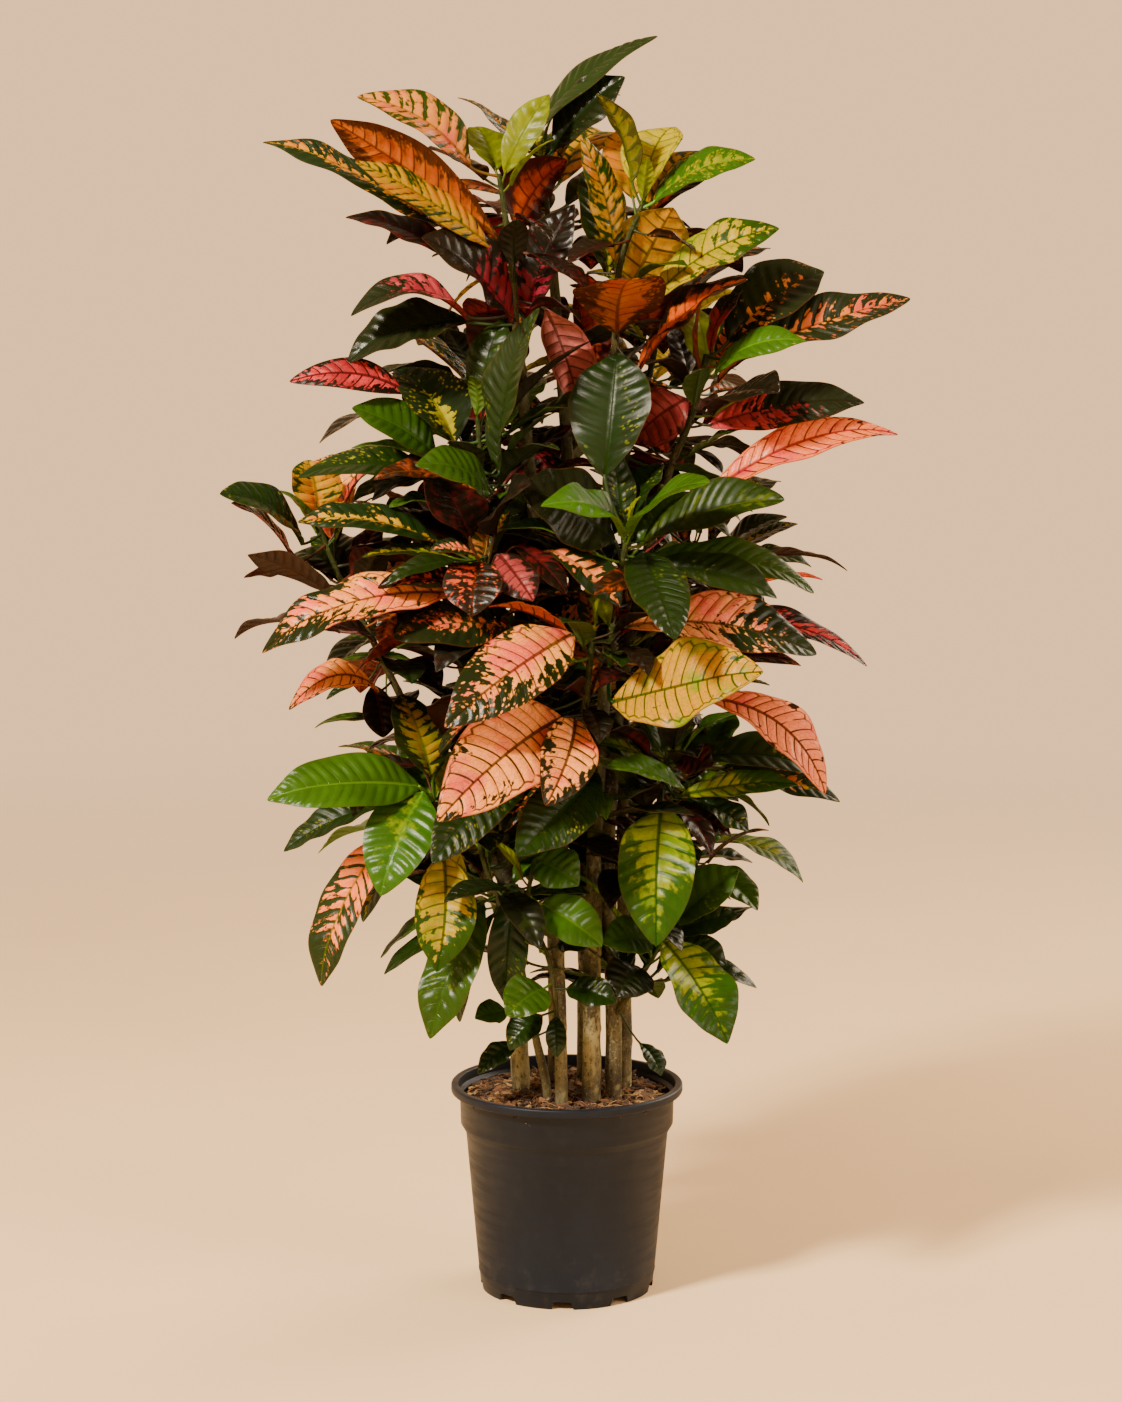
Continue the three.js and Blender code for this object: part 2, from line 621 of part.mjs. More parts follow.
function shapedLeaf(root, base, tip, width, arch, turnDegrees) {
  const toTip = tip.clone().sub(root).normalize();
  if (base.distanceTo(root) < 14) base = root.clone().addScaledVector(toTip, 14);
  const along = tip.clone().sub(base).normalize();
  return { root, base, tip, width, arch, face: faceOf(along, turnDegrees), wave: 0.04 + 0.1 * draw() };
}

// Far-side leaves go round the stem by the golden angle, steep at its tip and drooping lower down.
const goldenShare = 0.618034;
function farLeaf(path, i, [count, first, sweep, length]) {
  const share = (i + 0.5) / count;
  const azimuth = THREE.MathUtils.degToRad(first + sweep * ((i * goldenShare + 0.1 * draw()) % 1));
  const lift = THREE.MathUtils.degToRad(THREE.MathUtils.lerp(58, -34, share) + 16 * (draw() - 0.5));
  const size = length * (0.72 + 0.36 * draw()) * (share < 0.2 ? 0.72 : 1);
  const root = alongPath(path, THREE.MathUtils.lerp(0.97, stemFoot + 0.04, share));
  const along = new THREE.Vector3(Math.cos(azimuth) * Math.cos(lift), Math.sin(azimuth) * Math.cos(lift), Math.sin(lift));
  const base = root.clone().addScaledVector(along, 0.16 * size + 6);
  const tip = root.clone().addScaledVector(along, size);
  const width = size * (0.33 + 0.1 * draw());
  const arch = size * (0.06 + 0.1 * draw());
  return shapedLeaf(root, base, tip, width, arch, 30 * (draw() - 0.5));
}

// Pot: turned wall, lip, collar and floor, with trapezoid notches round the foot.
function potSolid() {
  const profile = [
    [0, floorLevel - wall],
    [footRadius - wall - 0.4, floorLevel - wall],
    [footRadius - wall - 1.2, 0],
    [footRadius, 0],
    [footRadius + 2, 18.5],
    [bodyTopRadius, chamferFoot],
    [collarRadius - 0.6, collarFoot],
    [collarRadius + 0.5, potHeight - lipHeight - 1],
    [rimRadius - 2.5, potHeight - lipHeight],
    [rimRadius, potHeight - lipHeight + 2.5],
    [rimRadius, potHeight - 1.6],
    [rimRadius - 1.6, potHeight],
    [rimRadius - lipWidth, potHeight],
    [collarRadius - wall, collarFoot - 1],
    [bodyTopRadius - wall, chamferFoot - 2],
    [footRadius - wall + 1.2, floorLevel],
    [0, floorLevel],
  ];
  const turned = new THREE.LatheGeometry(profile.map(([r, z]) => new THREE.Vector2(r, z)), potSides);
  turned.rotateX(Math.PI / 2);
  let pot = solidFrom(turned);
  for (let i = 0; i < notchCount; i += 1) {
    const outline2 = new THREE.Shape([
      new THREE.Vector2(-notchGroundWidth / 2 - 0.5, -2),
      new THREE.Vector2(notchGroundWidth / 2 + 0.5, -2),
      new THREE.Vector2(notchTopWidth / 2, notchHeight - 1),
      new THREE.Vector2(-notchTopWidth / 2, notchHeight - 1),
    ]);
    const notch = new THREE.ExtrudeGeometry(outline2, { depth: 16, bevelEnabled: false });
    notch.rotateX(Math.PI / 2);
    notch.rotateZ(Math.PI / 2);
    notch.translate(footRadius - 12, 0, 0);
    notch.rotateZ(THREE.MathUtils.degToRad(notchTurn + i * 360 / notchCount));
    pot = pot.subtract(solidFrom(notch));
  }
  return pot;
}

// Soil: fills the pot to under the lip, slightly heaped in the middle.
function soilSolid() {
  const slope = (bodyTopRadius - footRadius) / chamferFoot;
  const inside = (z) => footRadius - wall + slope * z - 0.9;
  const profile = [
    [0, floorLevel + gap],
    [inside(floorLevel) - 0.6, floorLevel + gap],
    [inside(chamferFoot - 6), chamferFoot - 6],
    [collarRadius - wall - 0.4, soilLevel - 6],
    [collarRadius - 30, soilLevel - 1],
    [0, soilLevel + soilMound],
  ];
  const turned = new THREE.LatheGeometry(profile.map(([r, z]) => new THREE.Vector2(r, z)), potSides);
  turned.rotateX(Math.PI / 2);
  return solidFrom(turned);
}

// Build: the firm pieces first, then the leaves find room among them one by one.
const caneSides = 6;
const stemSides = 5;
const caneSolids = canes.map((limbs) => joined(limbs.map(([foot, top, ...places]) => (
  limb(places, foot, top, caneSides)))));
const caneRoom = canes.map((limbs) => joined(limbs.map(([foot, top, ...places]) => (
  limb(places, foot, top, caneSides, gap)))));

const pot = potSolid();
let soil = soilSolid();
for (const room of caneRoom) soil = soil.subtract(room);

const shoots = stems.map((stem) => {
  let body = limb(stem.path, stem.radius[0], stem.radius[1], stemSides);
  for (const room of caneRoom) body = body.subtract(room);
  return { ...stem, line: stem.path.map(point), stalks: body, placed: [] };
});

const firm = [...caneSolids, pot, soil];
const touches = (a, b) => {
  const p = a.boundingBox();
  const q = b.boundingBox();
  for (let k = 0; k < 3; k += 1) if (p.max[k] < q.min[k] || q.max[k] < p.min[k]) return false;
  return !a.intersect(b).isEmpty();
};

function clearOfOthers(shoot, wide) {
  if (firm.some((solid) => touches(wide, solid))) return false;
  return shoots.every((other) => other === shoot
    || (!touches(wide, other.stalks) && !other.placed.some((leaf) => touches(wide, leaf.solid))));
}

// A leaf without the first stretch of its stalk, where the stalks of one stem may meet.
function beyondRoot(leaf) {
  const share = Math.min(0.8, rootStretch / leaf.root.distanceTo(leaf.base));
  return { ...leaf, root: leaf.root.clone().lerp(leaf.base, share) };
}

function placeLeaf(shoot, leaf) {
  let crossing = null;
  for (const move of leafMoves) {
    const moved = movedLeaf(leaf, move);
    const wide = leafSolid(moved, clearance / 2);
    if (!clearOfOthers(shoot, wide)) continue;
    const free = leafSolid(beyondRoot(moved), clearance / 2);
    if (!shoot.placed.some((other) => touches(free, other.free))) {
      shoot.placed.push({ solid: leafSolid(moved, 0), free });
      return 1;
    }
    if (!crossing) crossing = { solid: leafSolid(moved, 0), free };
  }
  if (!crossing) return 0;
  shoot.placed.push(crossing);
  return 2;
}

// The front leaves of every stem come first, then the far-side ones fill what is left.
const frontLeaves = shoots.map((shoot) => {
  const taken = new Set();
  return shoot.leaves.map(([bx, bz, by, tx, tz, ty, width, arch, turn]) => {
    const base = seen(bx, by, bz);
    const root = rootOn(shoot.line, base, taken);
    return shapedLeaf(root, base, seen(tx, ty, tz), width * breadth, arch, turn);
  });
});
const farLeaves = shoots.map((shoot) => Array.from({ length: shoot.more[0] }, (_, i) => (
  farLeaf(shoot.line, i, shoot.more))));
shoots.forEach((shoot, k) => frontLeaves[k].forEach((leaf) => placeLeaf(shoot, leaf)));
shoots.forEach((shoot, k) => farLeaves[k].forEach((leaf) => placeLeaf(shoot, leaf)));

const plant = new THREE.Group();
plant.add(meshFrom(pot, 'pot', { color: '#2d2a28', roughness: 0.55 }));
plant.add(meshFrom(soil, 'soil', { color: '#4a2f1f', roughness: 1 }));
caneSolids.forEach((solid, k) => {
  plant.add(meshFrom(solid, `cane_${k + 1}`, { color: '#6b5a44', roughness: 0.85 }));
});
shoots.forEach((shoot) => {
  const bodies = joined([shoot.stalks, ...shoot.placed.map((leaf) => leaf.solid)]).decompose();
  const whole = bodies.reduce((most, body) => (body.volume() > most.volume() ? body : most));
  plant.add(meshFrom(whole, `leafy_stem_${shoot.name}`, { color: shoot.colour, roughness: 0.4 }));
});

export default plant;
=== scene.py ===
import json
import math
import random

import bmesh
import bpy
import numpy as np
from mathutils import Matrix, Quaternion, Vector, kdtree, noise
from mathutils.bvhtree import BVHTree


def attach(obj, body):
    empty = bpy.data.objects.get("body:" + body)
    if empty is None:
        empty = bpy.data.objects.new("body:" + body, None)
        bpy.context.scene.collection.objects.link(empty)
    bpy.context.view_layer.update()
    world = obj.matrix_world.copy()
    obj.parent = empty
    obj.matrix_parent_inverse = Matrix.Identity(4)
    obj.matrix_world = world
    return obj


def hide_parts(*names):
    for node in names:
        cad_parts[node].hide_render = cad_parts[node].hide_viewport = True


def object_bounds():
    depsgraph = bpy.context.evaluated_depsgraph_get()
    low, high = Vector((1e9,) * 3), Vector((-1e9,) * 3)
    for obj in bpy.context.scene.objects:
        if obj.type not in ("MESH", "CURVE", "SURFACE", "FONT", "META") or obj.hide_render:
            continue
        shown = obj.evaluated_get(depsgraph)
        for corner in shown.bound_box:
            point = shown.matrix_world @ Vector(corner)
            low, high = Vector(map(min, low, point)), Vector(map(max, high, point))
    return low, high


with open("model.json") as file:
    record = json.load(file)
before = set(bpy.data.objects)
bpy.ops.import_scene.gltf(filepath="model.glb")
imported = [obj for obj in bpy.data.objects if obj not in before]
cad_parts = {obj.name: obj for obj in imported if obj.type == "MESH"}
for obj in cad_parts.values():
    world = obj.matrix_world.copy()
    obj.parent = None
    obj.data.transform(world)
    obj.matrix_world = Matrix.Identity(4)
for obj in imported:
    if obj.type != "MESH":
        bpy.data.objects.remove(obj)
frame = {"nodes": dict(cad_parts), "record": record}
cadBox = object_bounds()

# A croton in a nursery pot. The front of the plant faces -Y, and the pot stands on the ground at the origin.
# Tables are in millimetres, as the solids' are, and every mesh is made in metres.
mm = 0.001


def colour(code):
    parts = [int(code[i:i + 2], 16) / 255 for i in (0, 2, 4)]
    return tuple(c / 12.92 if c < 0.04045 else ((c + 0.055) / 1.055) ** 2.4 for c in parts)


def smoothStep(low, high, value):
    share = np.clip((value - low) / (high - low), 0, 1)
    return share * share * (3 - 2 * share)


# Camera: the photograph's own place, pitch and focal length
cameraSpec = {"place": (-0.0061, -3.2, 1.026), "pitchDown": 7.34, "lens": 81.1, "sensor": 36}


def placeCamera(spec):
    data = bpy.data.cameras.new("photoCamera")
    data.lens = spec["lens"]
    data.sensor_width = spec["sensor"]
    camera = bpy.data.objects.new("photoCamera", data)
    camera.location = spec["place"]
    camera.rotation_euler = (math.radians(90 - spec["pitchDown"]), 0, 0)
    bpy.context.scene.collection.objects.link(camera)
    bpy.context.scene.camera = camera


placeCamera(cameraSpec)


# Materials: a small desk of node helpers, then one function for each finish
class Shader:
    def __init__(self, name):
        self.material = bpy.data.materials.new(name)
        self.material.use_nodes = True
        self.tree = self.material.node_tree
        self.tree.nodes.clear()

    def node(self, kind, settings=None, **inputs):
        made = self.tree.nodes.new("ShaderNode" + kind)
        for key, value in (settings or {}).items():
            setattr(made, key, value)
        for key, value in inputs.items():
            self.feed(made.inputs[key.replace("_", " ")], value)
        return made

    def feed(self, socket, value):
        if isinstance(value, bpy.types.NodeSocket):
            self.tree.links.new(value, socket)
        elif hasattr(socket.default_value, "__len__") and len(socket.default_value) == 4 and len(value) == 3:
            socket.default_value = (*value, 1)
        else:
            socket.default_value = value

    def maths(self, operation, *values):
        made = self.node("Math", {"operation": operation})
        for socket, value in zip(made.inputs, values):
            self.feed(socket, value)
        return made.outputs[0]

    def times(self, *values):
        made = values[0]
        for value in values[1:]:
            made = self.maths("MULTIPLY", made, value)
        return made

    def plus(self, first, second):
        return self.maths("ADD", first, second)

    def less(self, value):
        return self.maths("SUBTRACT", 1, value)

    def mix(self, factor, first, second):
        made = self.node("MixRGB")
        for socket, value in zip(made.inputs, (factor, first, second)):
            self.feed(socket, value)
        return made.outputs[0]

    def ramp(self, value, low, high):
        made = self.node("MapRange", {"interpolation_type": "SMOOTHSTEP"}, Value=value)
        self.feed(made.inputs["From Min"], low)
        self.feed(made.inputs["From Max"], high)
        return made.outputs[0]

    def vector(self, x, y, z):
        return self.node("CombineXYZ", X=x, Y=y, Z=z).outputs[0]

    def objectPlace(self, scale=(1, 1, 1)):
        place = self.node("TexCoord").outputs["Object"]
        return self.node("Mapping", Vector=place, Scale=scale).outputs[0]

    def noise(self, place, scale, detail=2.0, roughness=0.5):
        return self.node("TexNoise", Vector=place, Scale=scale, Detail=detail, Roughness=roughness).outputs[0]

    def attribute(self, name):
        return self.node("Attribute", {"attribute_name": name})

    def parts(self, name):
        split = self.node("SeparateXYZ", None, Vector=self.attribute(name).outputs["Vector"])
        return split.outputs[0], split.outputs[1], split.outputs[2]

    def bump(self, height, distance, strength=1.0):
        return self.node("Bump", Height=height, Distance=distance, Strength=strength).outputs[0]

    def finish(self, **inputs):
        surface = self.node("BsdfPrincipled", None, **inputs)
        self.tree.links.new(surface.outputs[0], self.node("OutputMaterial").inputs["Surface"])
        return self.material


def linkPiece(mesh, name, materials):
    for material in materials:
        mesh.materials.append(material)
    piece = bpy.data.objects.new(name, mesh)
    bpy.context.scene.collection.objects.link(piece)
    return piece


def seat(piece, slot, *nodes):
    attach(piece, "root")
    if nodes:
        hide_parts(*nodes)
    return piece


# Stage: a plain pale floor that fades into the air far out, and soft studio light
stageSpec = {
    "floorSize": 60,
    "floorTone": "eccca0",
    "floorCloud": "e4c69c",
    "airTone": "ffcd98",
    # strength of the air at the horizon and overhead, and the heights between which it changes
    "airStrength": (1.5, 0.62),
    "airHeights": (0.16, 0.62),
    # where the floor turns into air, in metres from the plant
    "fade": (0.5, 4.2),
    # name: (place, aim, size, watts, tone)
    "lights": {
        "keyLight": ((-2.1, -2.2, 3.1), (0, 0, 0.75), 0.6, 400, "fff0d8"),
        "fillLight": ((2.6, -1.6, 1.5), (0, 0, 0.6), 1.8, 58, "ffeedd"),
        "backLight": ((2.4, 1.9, 2.1), (0, 0, 0.7), 2.0, 140, "ffeccf"),
    },
}


def floorMaterial(spec):
    shader = Shader("paleFloor")
    place = shader.objectPlace()
    clouds = shader.ramp(shader.noise(place, 2.0, 5), 0.3, 0.75)
    shade = shader.mix(clouds, colour(spec["floorTone"]), colour(spec["floorCloud"]))
    away = shader.node("VectorMath", {"operation": "LENGTH"}, Vector=place).outputs["Value"]
    far = shader.ramp(away, *spec["fade"])
    glow = shader.times(far, spec["airStrength"][0])
    return shader.finish(Base_Color=shader.mix(far, shade, (0, 0, 0)), Roughness=1.0, Specular_IOR_Level=0.0,
                         Emission_Color=colour(spec["airTone"]), Emission_Strength=glow)


def buildStage(spec):
    bm = bmesh.new()
    bmesh.ops.create_grid(bm, x_segments=1, y_segments=1, size=spec["floorSize"] / 2)
    mesh = bpy.data.meshes.new("floor")
    bm.to_mesh(mesh)
    bm.free()
    linkPiece(mesh, "floor", [floorMaterial(spec)])
    world = bpy.data.worlds.new("studio")
    world.use_nodes = True
    tree = world.node_tree
    air = tree.nodes["Background"]
    air.inputs["Color"].default_value = (*colour(spec["airTone"]), 1)
    split = tree.nodes.new("ShaderNodeSeparateXYZ")
    tree.links.new(tree.nodes.new("ShaderNodeTexCoord").outputs["Generated"], split.inputs[0])
    height = tree.nodes.new("ShaderNodeMapRange")
    height.interpolation_type = "SMOOTHSTEP"
    steps = (*spec["airHeights"], *spec["airStrength"])
    for name, value in zip(("From Min", "From Max", "To Min", "To Max"), steps):
        height.inputs[name].default_value = value
    tree.links.new(split.outputs["Z"], height.inputs["Value"])
    tree.links.new(height.outputs[0], air.inputs["Strength"])
    bpy.context.scene.world = world
    for name, (place, aim, size, watts, tone) in spec["lights"].items():
        data = bpy.data.lights.new(name, "AREA")
        data.size = size
        data.energy = watts
        data.color = colour(tone)
        lamp = bpy.data.objects.new(name, data)
        lamp.location = place
        lamp.rotation_euler = (Vector(aim) - Vector(place)).to_track_quat("-Z", "Y").to_euler()
        bpy.context.scene.collection.objects.link(lamp)


buildStage(stageSpec)
print("stage and camera ready")


# Templates: small closed shapes made once, then placed many times with their points moved
def meshFrom(bm, name):
    mesh = bpy.data.meshes.new(name)
    bm.to_mesh(mesh)
    bm.free()
    return mesh


def tubeTemplate(name, sides, rings, material=0):
    # a closed tube of unit radius along Z, from 0 to 1
    bm = bmesh.new()
    bmesh.ops.create_cone(bm, cap_ends=True, segments=sides, radius1=1, radius2=1, depth=1,
                          matrix=Matrix.Translation((0, 0, 0.5)))
    for ring in range(1, rings):
        everything = bm.verts[:] + bm.edges[:] + bm.faces[:]
        cut = (0, 0, ring / rings)
        bmesh.ops.bisect_plane(bm, geom=everything, dist=1e-6, plane_co=cut, plane_no=(0, 0, 1))
    for face in bm.faces:
        face.smooth = True
        face.material_index = material
    return meshFrom(bm, name)


def pointsOf(mesh):
    found = np.empty(len(mesh.vertices) * 3)
    mesh.vertices.foreach_get("co", found)
    return found.reshape(-1, 3)


def bladeTemplate(name, pairs, columns):
    # a closed thin sheet: x is v from -1 to 1 across the blade, y is s from 0 at the stalk to 1 at the tip,
    # z is 0 on the underside and 1 on the upper face; four rows to each pair of side veins
    bm = bmesh.new()
    bmesh.ops.create_grid(bm, x_segments=columns, y_segments=pairs * 4, size=1)
    under = bm.faces[:]
    grown = bmesh.ops.extrude_face_region(bm, geom=under, use_keep_orig=True)
    corners = [part for part in grown["geom"] if isinstance(part, bmesh.types.BMVert)]
    bmesh.ops.translate(bm, vec=(0, 0, 1), verts=corners)
    bmesh.ops.recalc_face_normals(bm, faces=bm.faces[:])
    for corner in bm.verts:
        corner.co.y = (corner.co.y + 1) / 2
        corner.co.x = math.copysign(abs(corner.co.x) ** 1.25, corner.co.x)
    for face in bm.faces:
        face.smooth = True
    for edge in bm.edges:
        sides = [abs(face.normal.z) > 0.5 for face in edge.link_faces]
        edge.smooth = len(set(sides)) == 1
    return meshFrom(bm, name)


def assemble(name, parts, materials, sizes=None):
    # parts: (template, points in metres, {attribute: values}); the templates are joined, then their points
    # moved. sizes: the attributes and how many numbers each holds; a part without one gets noughts
    bm = bmesh.new()
    for template, points, traits in parts:
        bm.from_mesh(template)
    mesh = meshFrom(bm, name)
    mesh.vertices.foreach_set("co", np.concatenate([points for _, points, _ in parts]).ravel())
    kinds = {1: ("FLOAT", "value"), 3: ("FLOAT_VECTOR", "vector"), 4: ("FLOAT_COLOR", "color")}
    sizes = sizes or {key: values.size // len(parts[0][1]) for key, values in parts[0][2].items()}
    for key, size in sizes.items():
        values = [traits.get(key, np.zeros((len(points), size))).ravel() for _, points, traits in parts]
        kind, field = kinds[size]
        data = mesh.attributes.new(key, kind, "POINT").data
        data.foreach_set(field, np.concatenate(values).astype(np.float32))
    mesh.update()
    return linkPiece(mesh, name, materials)


# Paths: smooth curves through a few places, and tubes laid along them
fineSteps = 24
goldenAngle = 2.39996


def smoothPath(places, steps):
    # a curve through every place, evenly stepped along its length
    spots = [np.array(place, float) for place in places]
    if len(spots) == 2:
        fine = np.linspace(spots[0], spots[1], fineSteps)
    else:
        ends = [2 * spots[0] - spots[1], *spots, 2 * spots[-1] - spots[-2]]
        fine = []
        for before, start, end, after in zip(ends, ends[1:], ends[2:], ends[3:]):
            bend = 2 * before - 5 * start + 4 * end - after
            swing = 3 * start - before - 3 * end + after
            for t in np.linspace(0, 1, fineSteps, endpoint=False):
                fine.append(0.5 * (2 * start + (end - before) * t + bend * t ** 2 + swing * t ** 3))
        fine = np.array([*fine, spots[-1]])
    reach = np.concatenate([[0], np.cumsum(np.linalg.norm(np.diff(fine, axis=0), axis=1))])
    wanted = np.linspace(0, reach[-1], steps + 1)
    return np.stack([np.interp(wanted, reach, fine[:, axis]) for axis in range(3)], 1), reach[-1]


def alongTube(template, line, radiusAt):
    # the template's points laid along a line; radiusAt(share, angle) gives the radius in the line's unit
    unit = pointsOf(template)
    steps = len(line) - 1
    rings = np.rint(unit[:, 2] * steps).astype(int)
    ahead = np.gradient(line, axis=0)
    ahead /= np.linalg.norm(ahead, axis=1)[:, None]
    side = np.cross(ahead, (0.0, 1.0, 0.0))
    side /= np.linalg.norm(side, axis=1)[:, None]
    depth = np.cross(ahead, side)
    angle = np.arctan2(unit[:, 1], unit[:, 0])
    radius = radiusAt(unit[:, 2], angle)
    out = side[rings] * (np.cos(angle) * radius)[:, None] + depth[rings] * (np.sin(angle) * radius)[:, None]
    return line[rings] + out, unit[:, 2], angle


# Pot: spun wall, lip, collar and floor, with trapezoid notches round the foot
potSpec = {
    "height": 216, "rim": 120, "lipWidth": 7.5, "lipHeight": 9, "lipRound": 2.2,
    "collar": 110.5, "collarFoot": 174, "chamferFoot": 166, "bodyTop": 105, "foot": 89.6,
    "wall": 2.4, "floorLevel": 11, "spinSteps": 144,
    "notches": 9, "notchHeight": 9, "notchGround": 23, "notchTop": 18, "notchTurn": -93,
    "notchRound": 1.6,
}


def arc(centre, radius, start, end, steps=5):
    turns = [math.radians(start + (end - start) * i / steps) for i in range(steps + 1)]
    return [(centre[0] + radius * math.cos(t), centre[1] + radius * math.sin(t)) for t in turns]


def potProfile(spec):
    top = spec["height"]
    lipFoot = top - spec["lipHeight"]
    bend = spec["lipRound"]
    inner = spec["rim"] - spec["lipWidth"]
    wall = spec["wall"]
    foot = spec["foot"]
    body = spec["bodyTop"]
    chamferFoot = spec["chamferFoot"]
    collar = spec["collar"]
    collarFoot = spec["collarFoot"]
    return [
        (0, spec["floorLevel"] - wall),
        (foot - wall - 0.4, spec["floorLevel"] - wall),
        (foot - wall - 1.2, 0.5),
        (foot - wall - 0.7, 0),
        *arc((foot - 0.7, 0.7), 0.7, -90, 0, 3),
        (foot + 1.7, 17.6), (foot + 2.5, 18.2), (foot + 2.6, 19.0), (foot + 2.2, 19.8),
        (body - 0.3, chamferFoot - 1.5), (body + 0.5, chamferFoot + 0.6),
        (collar - 1.3, collarFoot - 1.2), (collar - 0.3, collarFoot + 0.6),
        (collar + 0.4, lipFoot - 2.6), (collar + 1.2, lipFoot - 0.9), (collar + 2.6, lipFoot),
        *arc((spec["rim"] - bend, lipFoot + bend), bend, -90, 0),
        *arc((spec["rim"] - bend, top - bend), bend, 0, 90),
        *arc((inner + 1.4, top - 1.4), 1.4, 90, 180, 3),
        (inner - 0.6, lipFoot - 1), (collar - wall, lipFoot - 4),
        (collar - wall, collarFoot - 1),
        (body - wall, chamferFoot - 2),
        (foot - wall + 1.2, spec["floorLevel"]),
        (0, spec["floorLevel"]),
    ]


def spunMesh(name, profile, steps):
    bm = bmesh.new()
    corners = [bm.verts.new((r * mm, 0, z * mm)) for r, z in profile]
    edges = [bm.edges.new(pair) for pair in zip(corners, corners[1:])]
    bmesh.ops.spin(bm, geom=corners + edges, cent=(0, 0, 0), axis=(0, 0, 1), angle=math.tau, steps=steps,
                   use_merge=True)
    bmesh.ops.remove_doubles(bm, verts=bm.verts[:], dist=1e-6)
    bmesh.ops.recalc_face_normals(bm, faces=bm.faces[:])
    for face in bm.faces:
        face.smooth = True
    for edge in bm.edges:
        edge.smooth = len(edge.link_faces) < 2 or edge.calc_face_angle(0) < math.radians(34)
    return meshFrom(bm, name)


def notchCutters(spec):
    bm = bmesh.new()
    done = set()
    for i in range(spec["notches"]):
        made = bmesh.ops.create_cube(bm, size=1)["verts"]
        for corner in made:
            width = spec["notchTop"] if corner.co.z > 0 else spec["notchGround"] + 1
            corner.co = Vector((corner.co.x * 16 + spec["foot"] - 4, corner.co.y * width,
                                spec["notchHeight"] - 1 if corner.co.z > 0 else -2)) * mm
        bevelled = [edge for edge in bm.edges if edge.verts[0] in made and edge.verts[1] in made
                    and abs(edge.verts[0].co.z) > 0.004 and abs(edge.verts[1].co.z) > 0.004
                    and abs(edge.verts[0].co.x - edge.verts[1].co.x) > 0.004]
        bmesh.ops.bevel(bm, geom=bevelled, offset=spec["notchRound"] * mm, affect="EDGES", segments=3,
                        profile=0.5, material=-1)
        turn = Matrix.Rotation(math.radians(spec["notchTurn"] + i * 360 / spec["notches"]), 3, "Z")
        fresh = [corner for corner in bm.verts if corner not in done]
        bmesh.ops.rotate(bm, cent=(0, 0, 0), matrix=turn, verts=fresh)
        done = set(bm.verts)
    bmesh.ops.recalc_face_normals(bm, faces=bm.faces[:])
    return linkPiece(meshFrom(bm, "notchCutters"), "notchCutters", [])


def settle(piece):
    # the piece with its modifiers applied
    graph = bpy.context.evaluated_depsgraph_get()
    ready = bpy.data.meshes.new_from_object(piece.evaluated_get(graph))
    piece.modifiers.clear()
    piece.data = ready


def potPlastic():
    shader = Shader("potPlastic")
    place = shader.objectPlace()
    grain = shader.noise(place, 900, 3)
    smudge = shader.noise(shader.objectPlace((1, 1, 0.35)), 14, 5, 0.62)
    drag = shader.noise(shader.objectPlace((1, 1, 9)), 16, 4, 0.6)
    height = shader.node("SeparateXYZ", Vector=shader.node("TexCoord").outputs["Object"]).outputs["Z"]
    low = shader.less(shader.ramp(height, 0.0, 0.075))
    dustSpots = shader.ramp(shader.noise(place, 60, 6, 0.7), 0.5, 0.68)
    dust = shader.times(shader.plus(shader.times(low, 0.06), 0.015), dustSpots)
    shade = shader.mix(shader.ramp(smudge, 0.32, 0.72), colour("0c1118"), colour("12171f"))
    shade = shader.mix(dust, shade, colour("6c6a66"))
    rough = shader.plus(shader.times(shader.ramp(drag, 0.3, 0.75), 0.16), 0.42)
    rough = shader.plus(rough, shader.times(dust, 0.3))
    bumps = shader.plus(shader.times(grain, 0.5), shader.times(drag, 0.5))
    return shader.finish(Base_Color=shade, Roughness=rough, Specular_IOR_Level=0.24,
                         Specular_Tint=colour("dfe6ff"), Normal=shader.bump(bumps, 0.0003, 0.35))


def buildPot(spec):
    pot = linkPiece(spunMesh("nurseryPot", potProfile(spec), spec["spinSteps"]), "nurseryPot", [])
    cutters = notchCutters(spec)
    cut = pot.modifiers.new("notches", "BOOLEAN")
    cut.object = cutters
    cut.operation = "DIFFERENCE"
    cut.solver = "EXACT"
    settle(pot)
    bpy.data.objects.remove(cutters)
    pot.data.materials.clear()
    pot.data.materials.append(potPlastic())
    return seat(pot, "pot_plastic", "pot")


buildPot(potSpec)
print("pot ready")


# Soil: a rough heaped bed of bark mix, with chips, fibres and grit lying on it
soilSpec = {
    "level": 203, "mound": 6, "bedRings": 44, "spinSteps": 120, "roughness": 3.2, "edge": 107.4,
    "chips": 1300, "fibres": 560, "grit": 46, "seed": 61,
    # how far from the middle chips, fibres and grit may lie
    "chipReach": 104, "fibreReach": 98, "gritReach": 102,
    "tones": ("38200f", "4c2d18", "704524", "94683c", "22150b", "ac8654", "563620"),
}


def soilHeight(x, y):
    # millimetres, over a place on the bed
    out = math.hypot(x, y)
    heap = soilSpec["level"] - 2 + soilSpec["mound"] * max(0, 1 - (out / 100) ** 2)
    lumps = noise.fractal((x * 0.045, y * 0.045, 3.1), 1.0, 2.2, 4) * soilSpec["roughness"]
    fall = 3.5 * float(smoothStep(86, 107, out))
    return heap + lumps - fall


